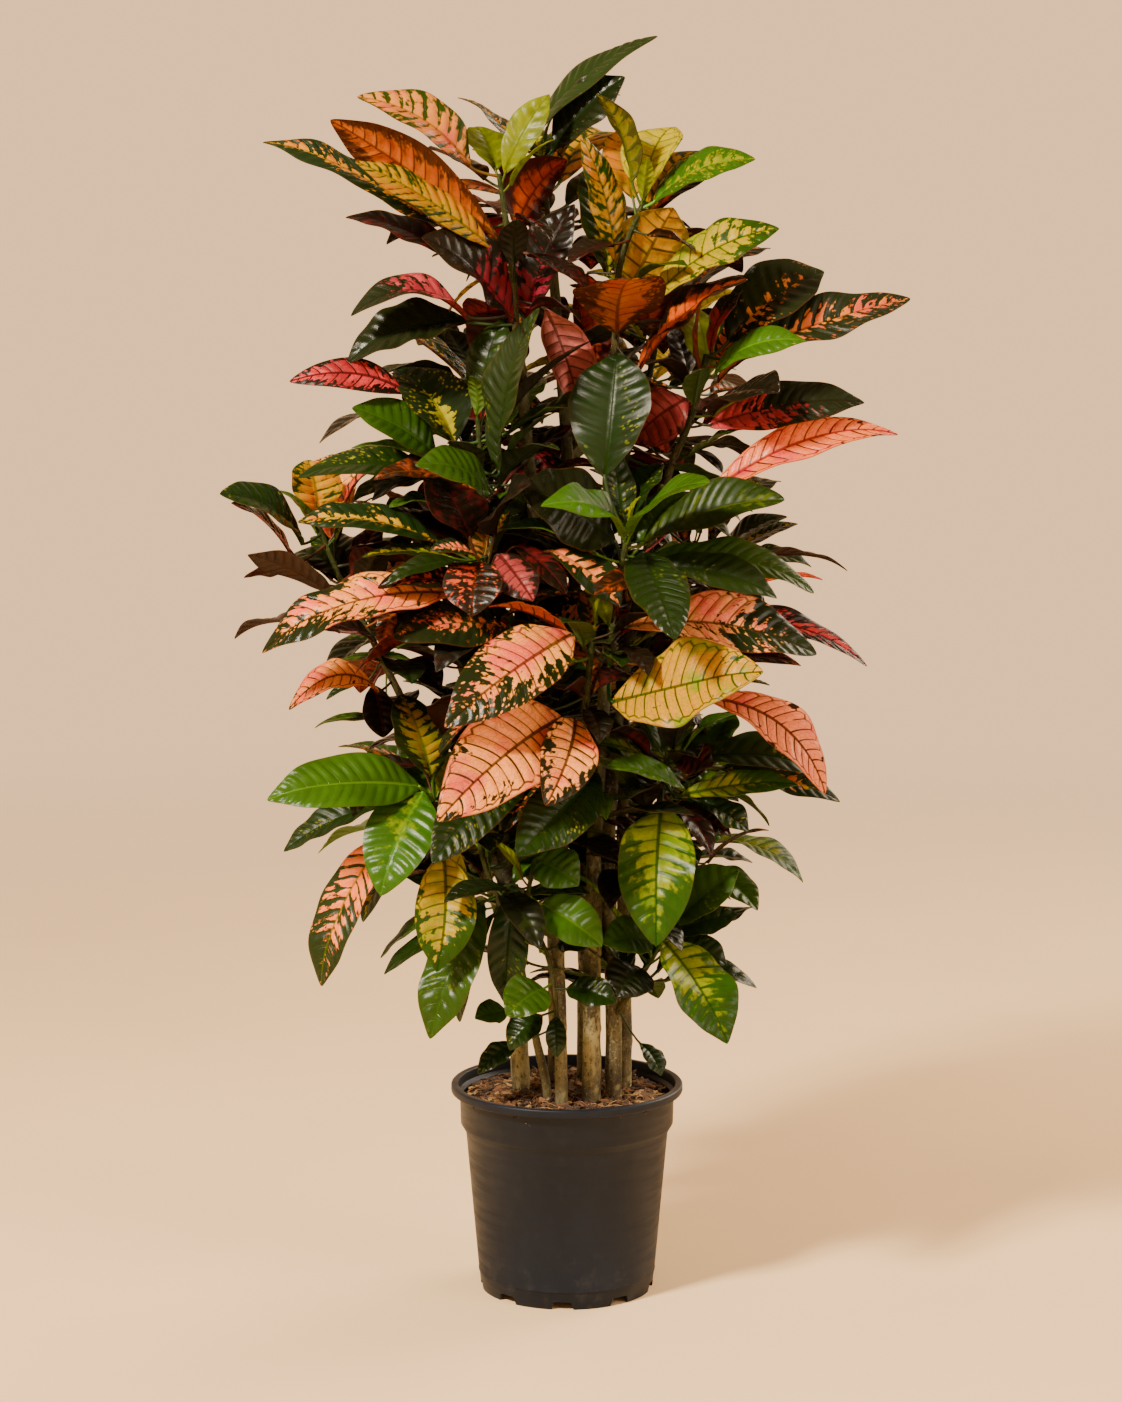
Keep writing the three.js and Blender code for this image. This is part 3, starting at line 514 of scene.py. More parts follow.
def barkMix():
    shader = Shader("barkMix")
    place = shader.objectPlace()
    lumps = shader.ramp(shader.noise(place, 90, 5, 0.65), 0.35, 0.68)
    crumbs = shader.ramp(shader.noise(place, 340, 3), 0.58, 0.74)
    shade = shader.mix(lumps, colour("1f130c"), colour("54361f"))
    shade = shader.mix(crumbs, shade, colour("7d5a38"))
    height = shader.noise(place, 420, 6, 0.75)
    return shader.finish(Base_Color=shade, Roughness=0.95, Normal=shader.bump(height, 0.0016, 1))


def barkChip():
    shader = Shader("barkChip")
    place = shader.objectPlace()
    tone = shader.attribute("pieceTone").outputs["Color"]
    grain = shader.noise(shader.objectPlace((1, 1, 3)), 480, 5, 0.7)
    shade = shader.mix(shader.ramp(grain, 0.3, 0.75), shader.mix(0.55, tone, colour("160d08")), tone)
    shade = shader.mix(shader.ramp(shader.noise(place, 1300, 2), 0.62, 0.72), shade, colour("a98b66"))
    return shader.finish(Base_Color=shade, Roughness=0.86, Normal=shader.bump(grain, 0.0008, 1))


def buildSoil(spec):
    foot = potSpec["foot"] - potSpec["wall"]
    floor = potSpec["floorLevel"] + 0.4
    rings = [spec["edge"] * (1 - i / spec["bedRings"]) for i in range(spec["bedRings"])]
    top = spec["level"] - 4
    profile = [(0, floor), (foot - 1.2, floor), (foot + 13.0, 160), (spec["edge"], 178)]
    profile += [(ring, top) for ring in rings] + [(0, top)]
    mesh = spunMesh("soilBed", profile, spec["spinSteps"])
    for corner in mesh.vertices:
        if corner.co.z > (top - 9) * mm:
            corner.co.z = soilHeight(corner.co.x / mm, corner.co.y / mm) * mm
    bed = linkPiece(mesh, "soilBed", [barkMix()])
    seat(bed, "potting_mix", "soil")

    draws = random.Random(spec["seed"])
    blockBm = bmesh.new()
    bmesh.ops.create_cube(blockBm, size=1)
    bmesh.ops.subdivide_edges(blockBm, edges=blockBm.edges[:], cuts=1, use_grid_fill=True)
    chip = meshFrom(blockBm, "chipTemplate")
    grainBm = bmesh.new()
    bmesh.ops.create_icosphere(grainBm, subdivisions=1, radius=0.5)
    grain = meshFrom(grainBm, "gritTemplate")
    fibre = tubeTemplate("fibreTemplate", 4, 7)
    tones = [colour(code) for code in spec["tones"]]

    def scatter(furthest):
        out = furthest * math.sqrt(draws.random())
        turn = draws.uniform(0, math.tau)
        return out * math.cos(turn), out * math.sin(turn)

    def laid(unit, size, tilt, x, y, lift):
        turn = Matrix.Rotation(draws.uniform(0, math.tau), 3, "Z")
        for axis in "XY":
            turn = turn @ Matrix.Rotation(draws.gauss(0, tilt), 3, axis)
        middle = np.array((x, y, soilHeight(x, y) + lift))
        return (unit * size) @ np.array(turn).T + middle

    chips = []
    unit = pointsOf(chip)
    for _ in range(spec["chips"]):
        x, y = scatter(spec["chipReach"])
        long = draws.choice((7, 9, 12, 16))
        size = np.array((long, long * draws.uniform(0.28, 0.6), draws.uniform(1.2, 2.8)))
        jitter = np.array([[draws.uniform(-0.13, 0.13) for _ in range(3)] for _ in unit])
        bend = np.zeros_like(unit)
        bend[:, 2] = (unit[:, 0] ** 2) * draws.uniform(-1.2, 1.2)
        points = laid(unit + jitter + bend, size, 0.32, x, y, draws.uniform(0.2, 5.5)) * mm
        tone = np.tile((*draws.choice(tones), 1), (len(unit), 1))
        chips.append((chip, points, {"pieceTone": tone}))
    seat(assemble("barkChips", chips, [barkChip()]), "potting_mix")

    fibres = []
    for _ in range(spec["fibres"]):
        x, y = scatter(spec["fibreReach"])
        long = draws.uniform(14, 44)
        curl = draws.uniform(-2.6, 2.6)
        bearing = draws.uniform(0, math.tau)
        lift = draws.uniform(2.0, 7.0)
        line = []
        for step in range(8):
            line.append((x, y, soilHeight(x, y) + lift + 1.2 * math.sin(step)))
            bearing += curl / 7
            x += long / 7 * math.cos(bearing)
            y += long / 7 * math.sin(bearing)
        if any(math.hypot(spot[0], spot[1]) > spec["chipReach"] for spot in line):
            continue
        radius = draws.uniform(0.3, 0.85)
        points, _, _ = alongTube(fibre, np.array(line), lambda share, angle: radius * (1 - 0.7 * share))
        tone = np.tile((*draws.choice(tones[2:]), 1), (len(points), 1))
        fibres.append((fibre, points * mm, {"pieceTone": tone}))
    seat(assemble("coirFibres", fibres, [barkChip()]), "potting_mix")

    grits = []
    unit = pointsOf(grain)
    for _ in range(spec["grit"]):
        x, y = scatter(spec["gritReach"])
        size = draws.uniform(1.6, 4.2)
        jitter = np.array([[draws.uniform(-0.12, 0.12) for _ in range(3)] for _ in unit])
        points = laid(unit + jitter, size, 0.8, x, y, draws.uniform(1.5, 3.5)) * mm
        grits.append((grain, points, {}))
    seat(assemble("paleGrit", grits, [paleGrit()]), "potting_mix")


def paleGrit():
    shader = Shader("paleGrit")
    pits = shader.noise(shader.objectPlace(), 1500, 3)
    shade = shader.mix(shader.ramp(pits, 0.3, 0.6), colour("a89c8a"), colour("e9e2d6"))
    return shader.finish(Base_Color=shade, Roughness=0.9, Normal=shader.bump(pits, 0.0004, 1))


buildSoil(soilSpec)
print("soil ready")


# Canes: ribbed bark with leaf scars, greener and smoother towards the top
caneSpec = {
    "sides": 20, "rings": 120, "twigRings": 48,
    "scarEvery": 27, "scarRise": 0.07, "ribs": 0.05, "knots": 0.13,
    # each cane is a list of limbs: (foot radius, top radius, places)
    "canes": (
        ((9.5, 5.5, ((-45, -12, 150), (-49, -12, 260), (-59, -8, 400), (-74, -4, 540), (-83, -2, 690),
          (-86, -6, 790))),
         (6, 4.2, ((-61, -8, 420), (-100, -9, 500), (-138, -7, 572), (-165, -5, 617))),),
        ((4.8, 3.4, ((-18, -47, 150), (-21, -47, 220), (-31, -49, 270), (-43, -52, 330),
          (-52, -54, 380))),),
        ((6.8, 4.6, ((-6, -62, 150), (-6, -62, 260), (-8, -58, 400), (0, -58, 510), (14, -68, 590))),),
        ((10.2, 6, ((25, -46, 150), (25, -46, 260), (27, -42, 380), (28, -36, 480), (34, -42, 580),
          (42, -52, 680))),),
        ((9, 5, ((47, -34, 150), (48, -33, 270), (45, -28, 360), (42, -18, 460), (52, -8, 600),
          (76, -4, 740), (98, -2, 835))),),
        ((6.5, 4.4, ((60, 0, 150), (61, 2, 300), (57, 6, 420), (58, 12, 560), (62, 14, 720), (54, 6, 860),
          (48, -8, 960))),
         (4.6, 3.6, ((57, 6, 425), (76, -12, 480), (92, -28, 512))),),
        ((9, 5.4, ((-12, 22, 150), (-11, 24, 300), (-16, 28, 480), (-24, 28, 640), (-32, 18, 780),
          (-42, 6, 900), (-50, -4, 980))),
         (5, 4, ((-24, 28, 650), (-52, 58, 760), (-76, 90, 855))),),
        ((9, 5, ((18, 38, 150), (20, 42, 300), (18, 50, 480), (12, 56, 660), (3, 52, 820), (-7, 44, 960),
          (-14, 40, 1050))),
         (5.4, 4, ((12, 56, 670), (44, 80, 800), (74, 102, 900))),
         (5, 4, ((20, 46, 380), (16, 80, 445), (12, 106, 505))),),
        ((7.4, 4.6, ((-50, 32, 150), (-55, 40, 300), (-72, 62, 450), (-96, 94, 580), (-118, 122, 660))),
         (4.6, 3.8, ((-60, 47, 350), (-84, 82, 410), (-96, 100, 440))),),
        ((7.4, 4.6, ((54, 46, 150), (58, 52, 300), (78, 76, 450), (100, 106, 580), (118, 128, 670))),
         (4.6, 3.8, ((64, 58, 340), (88, 86, 400), (102, 102, 440))),),
    ),
}


def scarred(length, radiusFoot, radiusTop, key, spec):
    # radius along a woody stem: leaf scars climb it in a spiral, low ribs run along it, and it has swellings
    count = max(2, round(length / spec["scarEvery"]))

    def radiusAt(share, angle):
        radius = radiusFoot + (radiusTop - radiusFoot) * share
        lift = share * count
        nearest = np.rint(lift)
        turn = nearest * goldenAngle + key
        apart = np.abs((angle - turn + np.pi) % math.tau - np.pi)
        near = np.abs(lift - nearest)
        pad = np.exp(-(near / 0.16) ** 2) * np.exp(-(apart / 0.75) ** 2)
        ring = np.exp(-(near / 0.05) ** 2) * 0.25
        ribs = np.sin(angle * 5 + share * 9 + key) * 0.6 + np.sin(angle * 9 - share * 14 + key * 2) * 0.4
        swell = np.array([noise.noise((float(s) * length * 0.03, key * 3.7, float(math.cos(a)) * 0.7))
                          for s, a in zip(share, angle)])
        scars = pad * 1.6 + ring
        return radius * (1 + spec["scarRise"] * scars + spec["ribs"] * ribs + spec["knots"] * swell)

    return radiusAt


def caneBark():
    shader = Shader("caneBark")
    along, aroundSin, aroundCos = shader.parts("runAlong")
    green = shader.attribute("greenness").outputs["Fac"]
    fissures = shader.noise(shader.vector(aroundSin, aroundCos, shader.times(along, 6)), 3.4, 6, 0.66)
    cracks = shader.ramp(fissures, 0.33, 0.44)
    bands = shader.noise(shader.vector(aroundSin, aroundCos, shader.times(along, 9)), 0.9, 4)
    patches = shader.noise(shader.objectPlace((1, 1, 0.4)), 42, 5, 0.62)
    speck = shader.noise(shader.objectPlace(), 420, 3, 0.6)
    shade = shader.mix(shader.ramp(patches, 0.40, 0.60), colour("3a3224"), colour("6a6040"))
    shade = shader.mix(shader.ramp(bands, 0.56, 0.72), shade, colour("887c54"))
    shade = shader.mix(shader.times(shader.ramp(speck, 0.56, 0.7), 0.5), shade, colour("b0a284"))
    shade = shader.mix(shader.times(green, shader.ramp(patches, 0.3, 0.6)), shade, colour("4a5428"))
    pale = shader.ramp(shader.noise(shader.objectPlace((1, 1, 0.5)), 24, 5, 0.7), 0.5, 0.62)
    pale = shader.maths("MAXIMUM", shader.maths("SUBTRACT", pale, green), 0)
    shade = shader.mix(pale, shade, colour("9a9264"))
    shade = shader.mix(cracks, colour("2c2318"), shade)
    height = shader.plus(shader.times(cracks, 0.8), shader.times(speck, 0.4))
    return shader.finish(Base_Color=shade, Roughness=0.82, Normal=shader.bump(height, 0.0011, 1))


def stemTraits(length, share, angle, green):
    run = np.stack([share * length * mm * 10, np.sin(angle), np.cos(angle)], 1)
    return {"runAlong": run, "greenness": np.clip(green[0] + (green[1] - green[0]) * share, 0, 1)}


def buildCanes(spec):
    bark = caneBark()
    tube = tubeTemplate("caneTube", spec["sides"], spec["rings"])
    twig = tubeTemplate("twigTube", 12, spec["twigRings"])
    for number, limbs in enumerate(spec["canes"], 1):
        parts = []
        for order, (footRadius, topRadius, places) in enumerate(limbs):
            template, rings = (tube, spec["rings"]) if order == 0 else (twig, spec["twigRings"])
            line, length = smoothPath(places, rings)
            radiusAt = scarred(length, footRadius, topRadius, number + 0.37 * order, spec)
            points, share, angle = alongTube(template, line, radiusAt)
            green = (0.05, 0.75) if order == 0 else (0.45, 0.8)
            parts.append((template, points * mm, stemTraits(length, share, angle, green)))
        seat(assemble(f"cane_{number}_bark", parts, [bark]), "cane_bark", f"cane_{number}")


buildCanes(caneSpec)
print("canes ready")


# Leafy stems. path: the green stem from inside its cane to the growing tip. leaves: (blade base x, z, depth,
# tip x, z, depth, width, arch, turn, paint), with x and z as seen in the plane y = 0 from the eye. more: the
# far-side leaves as (count, first azimuth, sweep, length). The solids' leaves come from the same figures.
eye = {"x": -6, "y": -3200, "z": 1026}
stems = [
    {"name": "top_left", "radius": (4.2, 2.6), "more": (3, 40, 110, 150),
     "path": ((-50, -4, 972), (-56, -12, 1060), (-68, -14, 1145)),
     "farPaints": ("blackPink", "darkPink", "crimsonUnder"),
     "leaves": (
         (-55, 998, -30, -143, 1084, -95, 82, 12, 50, "blackPink"),
         (-120, 1090, -12, -300, 1184, -30, 42, 8, 35, "spotted"),
         (-72, 1082, -24, -240, 1198, -34, 52, 10, -45, "orangeUnder"),
         (-74, 1074, -40, -195, 1185, -64, 44, 8, 52, "goldMottle"),
         (-98, 1150, -20, -214, 1212, -26, 52, 20, 42, "pinkMottle"),
         (-80, 1140, -18, -90, 1192, 24, 44, 6, 0, "lime"),
         (-62, 1146, -16, -18, 1224, -8, 30, 6, 60, "lime"),
         (-66, 1084, -18, -2, 1160, 16, 60, 8, -65, "flame"),
         (-100, 1056, 12, -220, 1107, 14, 38, 8, 30, "maroon"),
         (-102, 1004, -22, -217, 1006, -62, 44, 26, 24, "darkPink"),
         (-100, 998, -8, -222, 962, -46, 52, 14, 36, "darkGloss"),
         (-64, 1002, 12, -86, 950, 62, 58, 8, -40, "crimsonUnder"),
         (-42, 1002, 4, 6, 1116, 2, 46, 8, 62, "blackPink"),
         (-22, 1012, -18, 14, 904, 24, 54, 8, 0, "salmonUnder"),
     )},
    {"name": "top_back", "radius": (4, 2.4), "more": (7, 0, 250, 165),
     "path": ((-14, 40, 1042), (-20, 37, 1110), (-26, 34, 1164)),
     "farPaints": ("darkEmber", "spotted", "goldMottle", "pinkMottle"),
     "leaves": (
         (-28, 1158, 26, 57, 1241, 8, 50, 8, 60, "darkGloss"),
         (-42, 1172, 40, 100, 1270, 36, 54, 18, 40, "greyGreen"),
     )},
    {"name": "top_right", "radius": (4.2, 2.6), "more": (3, 10, 150, 160),
     "path": ((48, -8, 952), (52, -16, 1050), (76, -24, 1118)),
     "farPaints": ("goldMottle", "flame", "darkEmber"),
     "leaves": (
         (50, 978, -20, 64, 1044, -136, 76, 8, 0, "orangeUnder"),
         (46, 1042, -24, 14, 1184, -32, 40, 8, 66, "goldMottle"),
         (40, 1044, -4, 20, 1154, 22, 44, 8, 10, "oliveGold"),
         (82, 1114, -26, 104, 1193, 14, 60, 8, 0, "gold"),
         (86, 1106, -28, 188, 1160, -54, 48, 14, 36, "limeSpeckle"),
         (62, 1034, 2, 98, 1118, -24, 70, 6, -50, "amberUnder"),
         (90, 1024, -34, 212, 1092, -62, 54, 12, 44, "goldNet"),
         (72, 950, -30, 178, 1044, -62, 58, 12, 26, "flame"),
         (20, 1046, 0, 34, 946, 30, 36, 8, 0, "flame"),
     )},
    {"name": "upper_right", "radius": (4.4, 2.6), "more": (4, 0, 140, 150),
     "path": ((98, -2, 828), (108, 0, 862), (120, 2, 888), (132, 0, 925), (140, -2, 966)),
     "farPaints": ("darkPink", "darkEmber", "redNet"),
     "leaves": (
         (168, 962, -22, 345, 1022, 0, 46, 12, 46, "darkEmber"),
         (164, 976, 4, 264, 1040, 8, 70, 14, 44, "darkEmber"),
         (148, 945, -26, 240, 980, -60, 36, 18, 30, "brightGreen"),
         (146, 906, -18, 212, 930, -96, 60, 10, 22, "blackBrown"),
         (144, 894, -6, 299, 921, -34, 50, 14, 46, "darkPink"),
         (138, 930, -2, 66, 878, -8, 54, 10, 58, "pinkUnder"),
         (122, 940, 14, 100, 1002, 34, 38, 6, 10, "brownGrey"),
         (152, 958, 8, 178, 1046, 30, 36, 6, 0, "peachRib"),
         (142, 946, 16, 128, 1018, 42, 38, 6, 0, "lime"),
         (142, 928, -8, 138, 1030, -10, 18, 6, 60, "orangeBrown"),
     )},
    {"name": "left_crown", "radius": (4.4, 2.6), "more": (4, 20, 150, 160),
     "path": ((-86, -6, 782), (-87, -8, 850), (-90, -12, 902)),
     "farPaints": ("greyGreen", "darkGreen", "redNet"),
     "leaves": (
         (-68, 846, -46, -28, 1012, -76, 60, 12, 62, "greyGreen"),
         (-114, 876, -24, -172, 952, 14, 66, 12, 20, "greyGold"),
         (-130, 862, -32, -213, 912, -66, 52, 12, 45, "green"),
         (-134, 846, -30, -272, 845, -52, 46, 14, 26, "darkGreen"),
         (-140, 862, 6, -218, 872, 14, 28, 6, 10, "paleGreen"),
         (-122, 842, -52, -195, 843, -84, 26, 6, 30, "orangeBrown"),
         (-76, 826, -60, -150, 858, -122, 48, 12, 46, "green"),
         (-160, 926, -16, -281, 939, -34, 38, 22, 40, "redNet"),
     )},
    {"name": "middle_crown", "radius": (4.6, 3), "more": (2, 60, 60, 150),
     "path": ((42, -52, 672), (50, -62, 735), (60, -72, 788)),
     "farPaints": ("green", "peachNet"),
     "leaves": (
         (38, 842, -58, 50, 968, -22, 72, 8, 0, "darkGreen"),
         (54, 784, -82, -20, 819, -205, 42, 18, 45, "brightGreen"),
         (64, 784, -82, 143, 838, -222, 46, 14, 48, "brightGreen"),
         (78, 774, -70, 220, 820, -150, 58, 12, 40, "olive"),
         (82, 760, -62, 252, 730, -86, 42, 14, 32, "green"),
         (84, 750, -84, 213, 725, -136, 42, 12, 34, "greyGreen"),
         (56, 792, -56, 45, 873, -34, 28, 6, 0, "darkGreen"),
         (64, 794, -54, 88, 862, -30, 40, 8, 0, "darkGreen"),
         (50, 776, -62, -46, 834, -96, 84, 10, 50, "oliveBlack"),
         (145, 824, -30, 333, 892, -24, 38, 26, 48, "salmonNet"),
         (78, 766, -96, 110, 678, -236, 50, 10, 0, "greyGreen"),
         (74, 742, -104, 28, 724, -150, 24, 6, 30, "orangeBrown"),
         (176, 760, 16, 285, 753, 26, 24, 8, -8, "maroon"),
     )},
    {"name": "far_left", "radius": (4, 2.6), "more": (5, 10, 170, 140),
     "path": ((-165, -5, 610), (-200, 0, 680), (-230, 2, 738), (-252, 0, 794)),
     "farPaints": ("ember", "darkGreen", "peachNet", "maroon"),
     "leaves": (
         (-268, 774, -14, -351, 826, -92, 46, 14, 44, "darkGreen"),
         (-276, 756, -26, -338, 818, -78, 36, 8, 30, "ember"),
         (-238, 724, -20, -324, 764, -58, 40, 6, -40, "brownGrey"),
         (-250, 802, -4, -262, 860, 22, 48, 6, 0, "goldMottle"),
         (-216, 740, 16, -276, 768, 34, 42, 6, 20, "oliveBlack"),
         (-192, 624, -26, -284, 606, -62, 36, 32, 30, "peachNet"),
         (-152, 652, 12, -234, 655, 6, 18, 8, 20, "olive"),
         (-192, 594, 12, -258, 589, 24, 14, 5, 20, "olive"),
         (-198, 630, -4, -188, 576, -26, 32, 4, 0, "maroon"),
         (-176, 706, -36, -188, 668, -56, 18, 4, 0, "orangeBrown"),
         (-196, 676, -20, -250, 694, -44, 26, 6, 20, "maroon"),
         (-204, 634, -2, -246, 616, -14, 12, 4, 20, "darkGreen"),
         (-166, 654, -10, -128, 626, -30, 30, 4, 20, "brownGrey"),
         (-158, 782, 22, -216, 818, 24, 44, 8, 20, "peachNet"),
     )},
    {"name": "left_middle", "radius": (4.2, 3), "more": (2, 150, 60, 140),
     "path": ((-81, -2, 640), (-82, -40, 700), (-82, -62, 768)),
     "farPaints": ("maroon", "ember"),
     "leaves": (
         (-112, 723, -78, -312, 670, -116, 58, 26, 32, "peachMottle"),
         (-100, 724, -88, -192, 731, -112, 38, 14, 30, "ember"),
         (-118, 712, -66, -240, 699, -80, 26, 6, 30, "crimsonUnder"),
         (-112, 756, -92, -184, 736, -130, 20, 6, 30, "greyGreen"),
         (-116, 758, -84, -206, 754, -102, 22, 6, 20, "oliveGold"),
         (-130, 766, -60, -278, 765, -84, 48, 16, 26, "spotted"),
         (-94, 764, -96, -138, 769, -126, 22, 5, 30, "peachRib"),
         (-96, 780, -72, -136, 852, -46, 70, 8, 0, "maroon"),
         (-74, 782, -74, -40, 838, -118, 62, 8, 40, "blackBrown"),
         (-88, 756, -92, -96, 702, -138, 50, 6, 0, "ember"),
         (-70, 764, -88, -34, 716, -128, 36, 6, 20, "pinkUnder"),
         (-60, 772, -92, -16, 722, -140, 24, 6, 20, "crimsonUnder"),
         (-34, 766, -100, 22, 708, -158, 44, 8, 20, "peachRib"),
     )},
    {"name": "middle", "radius": (4.2, 3), "more": (1, 60, 60, 120),
     "path": ((14, -68, 582), (20, -80, 640), (26, -90, 694)),
     "farPaints": ("peachNet",),
     "leaves": (
         (6, 682, -104, -123, 590, -222, 62, 18, 44, "peachMottle"),
         (-4, 597, -96, -128, 496, -266, 76, 14, 42, "peachNet"),
         (4, 592, -98, -36, 490, -208, 48, 12, 30, "peachNet"),
         (-58, 694, -84, -175, 690, -124, 60, 12, 50, "darkEmber"),
         (14, 660, -84, -76, 622, -126, 54, 8, 40, "oliveGold"),
         (30, 540, -90, -50, 456, -236, 54, 10, 34, "darkGreen"),
         (-40, 548, -92, -138, 446, -200, 50, 10, 34, "darkGreen"),
     )},
    {"name": "right_middle", "radius": (4, 3), "more": (1, 0, 60, 120),
     "path": ((38, -47, 640), (42, -76, 668), (46, -92, 702)),
     "farPaints": ("oliveGold",),
     "leaves": (
         (46, 612, -106, 195, 648, -206, 76, 8, 56, "creamNet"),
         (52, 695, -102, 252, 659, -140, 60, 18, 42, "peachTip"),
         (100, 700, -62, 308, 656, -64, 32, 18, 32, "redNet"),
         (104, 652, -68, 238, 656, -96, 30, 6, 20, "orangeBrown"),
         (138, 616, -92, 266, 519, -118, 42, 42, 46, "salmonRib"),
     )},
    {"name": "lower_right", "radius": (3.8, 2.8), "more": (3, 0, 130, 140),
     "path": ((92, -28, 505), (97, -38, 530), (101, -46, 566)),
     "farPaints": ("green", "blocks", "spotted"),
     "leaves": (
         (97, 506, -76, 92, 360, -150, 64, 16, 0, "blocks"),
         (104, 500, -40, 168, 478, -56, 38, 4, 24, "maroon"),
         (135, 510, -52, 187, 480, -74, 28, 5, 30, "darkGreen"),
         (116, 515, -76, 235, 531, -104, 26, 8, 44, "blocks"),
         (122, 546, -54, 265, 523, -86, 44, 16, 30, "greyGreen"),
         (120, 522, -90, 42, 548, -138, 34, 6, 30, "green"),
         (102, 560, -54, 148, 542, -84, 34, 5, 30, "maroon"),
         (150, 546, -42, 174, 602, -24, 46, 6, 0, "green"),
         (156, 556, -30, 283, 552, -36, 32, 8, 34, "spotted"),
         (118, 436, 2, 187, 459, 8, 18, 8, -8, "brownGrey"),
     )},
    {"name": "low_right", "radius": (3.6, 2.6), "more": (2, 20, 80, 110),
     "path": ((47, -32, 290), (70, -56, 332), (92, -66, 370)),
     "farPaints": ("green", "darkGreen"),
     "leaves": (
         (106, 380, -68, 176, 440, -72, 46, 6, 46, "green"),
         (106, 372, -54, 176, 393, -62, 30, 5, 40, "darkGreen"),
         (105, 366, -60, 166, 346, -78, 30, 5, 40, "darkGreen"),
         (100, 362, -84, 162, 249, -132, 58, 12, 20, "blocks"),
         (86, 362, -76, 38, 362, -116, 40, 6, 44, "green"),
         (88, 350, -72, 52, 306, -108, 44, 6, 30, "oliveBlack"),
         (76, 256, -34, 98, 222, -54, 20, 5, 10, "darkGreen"),
     )},
    {"name": "lower_left", "radius": (3.8, 2.8), "more": (3, 60, 110, 130),
     "path": ((-60, -8, 402), (-95, -34, 452), (-126, -50, 500), (-138, -56, 526)),
     "farPaints": ("brightGreen", "limePatch", "green"),
     "leaves": (
         (-150, 525, -66, -306, 516, -122, 56, 16, 46, "brightGreen"),
         (-147, 522, -76, -196, 422, -148, 58, 12, 20, "limePatch"),
         (-138, 530, -60, -168, 622, -22, 56, 8, 0, "oliveGold"),
         (-150, 546, -40, -220, 548, -58, 18, 4, 30, "maroon"),
         (-166, 576, -54, -210, 536, -92, 22, 4, 30, "greyGreen"),
         (-176, 482, -46, -258, 318, -66, 46, 14, 40, "salmonPatch"),
         (-188, 506, -18, -291, 458, -28, 34, 10, 30, "darkGreen"),
         (-128, 500, -28, -182, 440, -20, 38, 6, 20, "maroon"),
     )},
    {"name": "low_left", "radius": (3.4, 2.6), "more": (2, 90, 80, 110),
     "path": ((-52, -54, 374), (-66, -58, 410), (-80, -62, 446), (-90, -64, 482)),
     "farPaints": ("goldNet", "green"),
     "leaves": (
         (-128, 456, -76, -134, 333, -146, 52, 12, 10, "goldNet"),
         (-86, 405, -72, -143, 262, -126, 48, 14, 24, "green"),
         (-82, 401, -56, -112, 279, -66, 32, 10, 30, "greyGreen"),
         (-84, 412, -52, -150, 422, -44, 32, 6, 44, "lime"),
         (-80, 426, -58, -110, 456, -44, 24, 4, 0, "maroon"),
         (-72, 424, -66, -90, 470, -60, 22, 4, 10, "green"),
         (-52, 424, -76, -63, 297, -96, 34, 8, 30, "darkGreen"),
         (-120, 402, -36, -193, 347, -30, 20, 6, 20, "green"),
         (-110, 382, -42, -190, 331, -54, 24, 6, 20, "darkGreen"),
     )},
    {"name": "base_shoot", "radius": (3, 2.2), "more": (0, 0, 0, 0),
     "path": ((-6, -62, 268), (-10, -76, 300), (-18, -80, 360), (-38, -82, 410), (-36, -80, 452)),
     "farPaints": ("green",),
     "leaves": (
         (-46, 407, -88, 36, 360, -122, 42, 8, 46, "brightGreen"),
         (-34, 450, -82, 12, 424, -112, 42, 6, 40, "green"),
         (-28, 352, -78, 36, 372, -98, 36, 5, 40, "darkGreen"),
         (-28, 346, -88, -64, 372, -104, 28, 5, 40, "green"),
         (-8, 318, -88, -62, 286, -136, 40, 8, 36, "green"),
         (0, 314, -86, 50, 300, -118, 30, 5, 40, "darkGreen"),
         (-26, 286, -84, -60, 250, -104, 32, 5, 20, "darkGreen"),
         (-12, 290, -88, -10, 242, -106, 18, 4, 0, "greyGreen"),
         (-52, 256, -64, -92, 224, -84, 22, 4, 30, "darkGreen"),
         (-62, 290, -70, -95, 283, -92, 24, 4, 40, "green"),
     )},
    {"name": "inner_left", "radius": (3.8, 2.6), "more": (7, -190, 150, 128),
     "path": ((-20, 28, 556), (-34, 4, 600), (-40, -14, 640)),
     "farPaints": ("darkGreen", "maroon", "oliveBlack", "greyGreen"),
     "leaves": ()},
    {"name": "inner_right", "radius": (3.8, 2.6), "more": (7, -110, 150, 128),
     "path": ((55, -7, 620), (74, -24, 650), (84, -36, 690)),
     "farPaints": ("darkGreen", "oliveBlack", "maroon", "peachRib"),
     "leaves": ()},
    {"name": "back_left_high", "radius": (4, 2.6), "more": (10, -60, 360, 172),
     "path": ((-75, 88, 850), (-84, 104, 905), (-90, 116, 960)),
     "farPaints": ("darkEmber", "blackPink", "spotted", "redNet", "darkGreen"),
     "leaves": ()},
    {"name": "back_right_high", "radius": (4, 2.6), "more": (10, -80, 360, 170),
     "path": ((73, 101, 894), (88, 116, 950), (98, 126, 1010)),
     "farPaints": ("goldMottle", "gold", "darkEmber", "flame", "greyGold"),
     "leaves": ()},
    {"name": "back_left_middle", "radius": (4, 2.6), "more": (10, 10, 300, 166),
     "path": ((-117, 121, 654), (-128, 134, 700), (-136, 142, 752)),
     "farPaints": ("peachNet", "ember", "maroon", "redNet", "darkGreen"),
     "leaves": ()},
    {"name": "back_right_middle", "radius": (4, 2.6), "more": (10, -60, 300, 172),
     "path": ((117, 127, 664), (128, 138, 712), (136, 146, 766)),
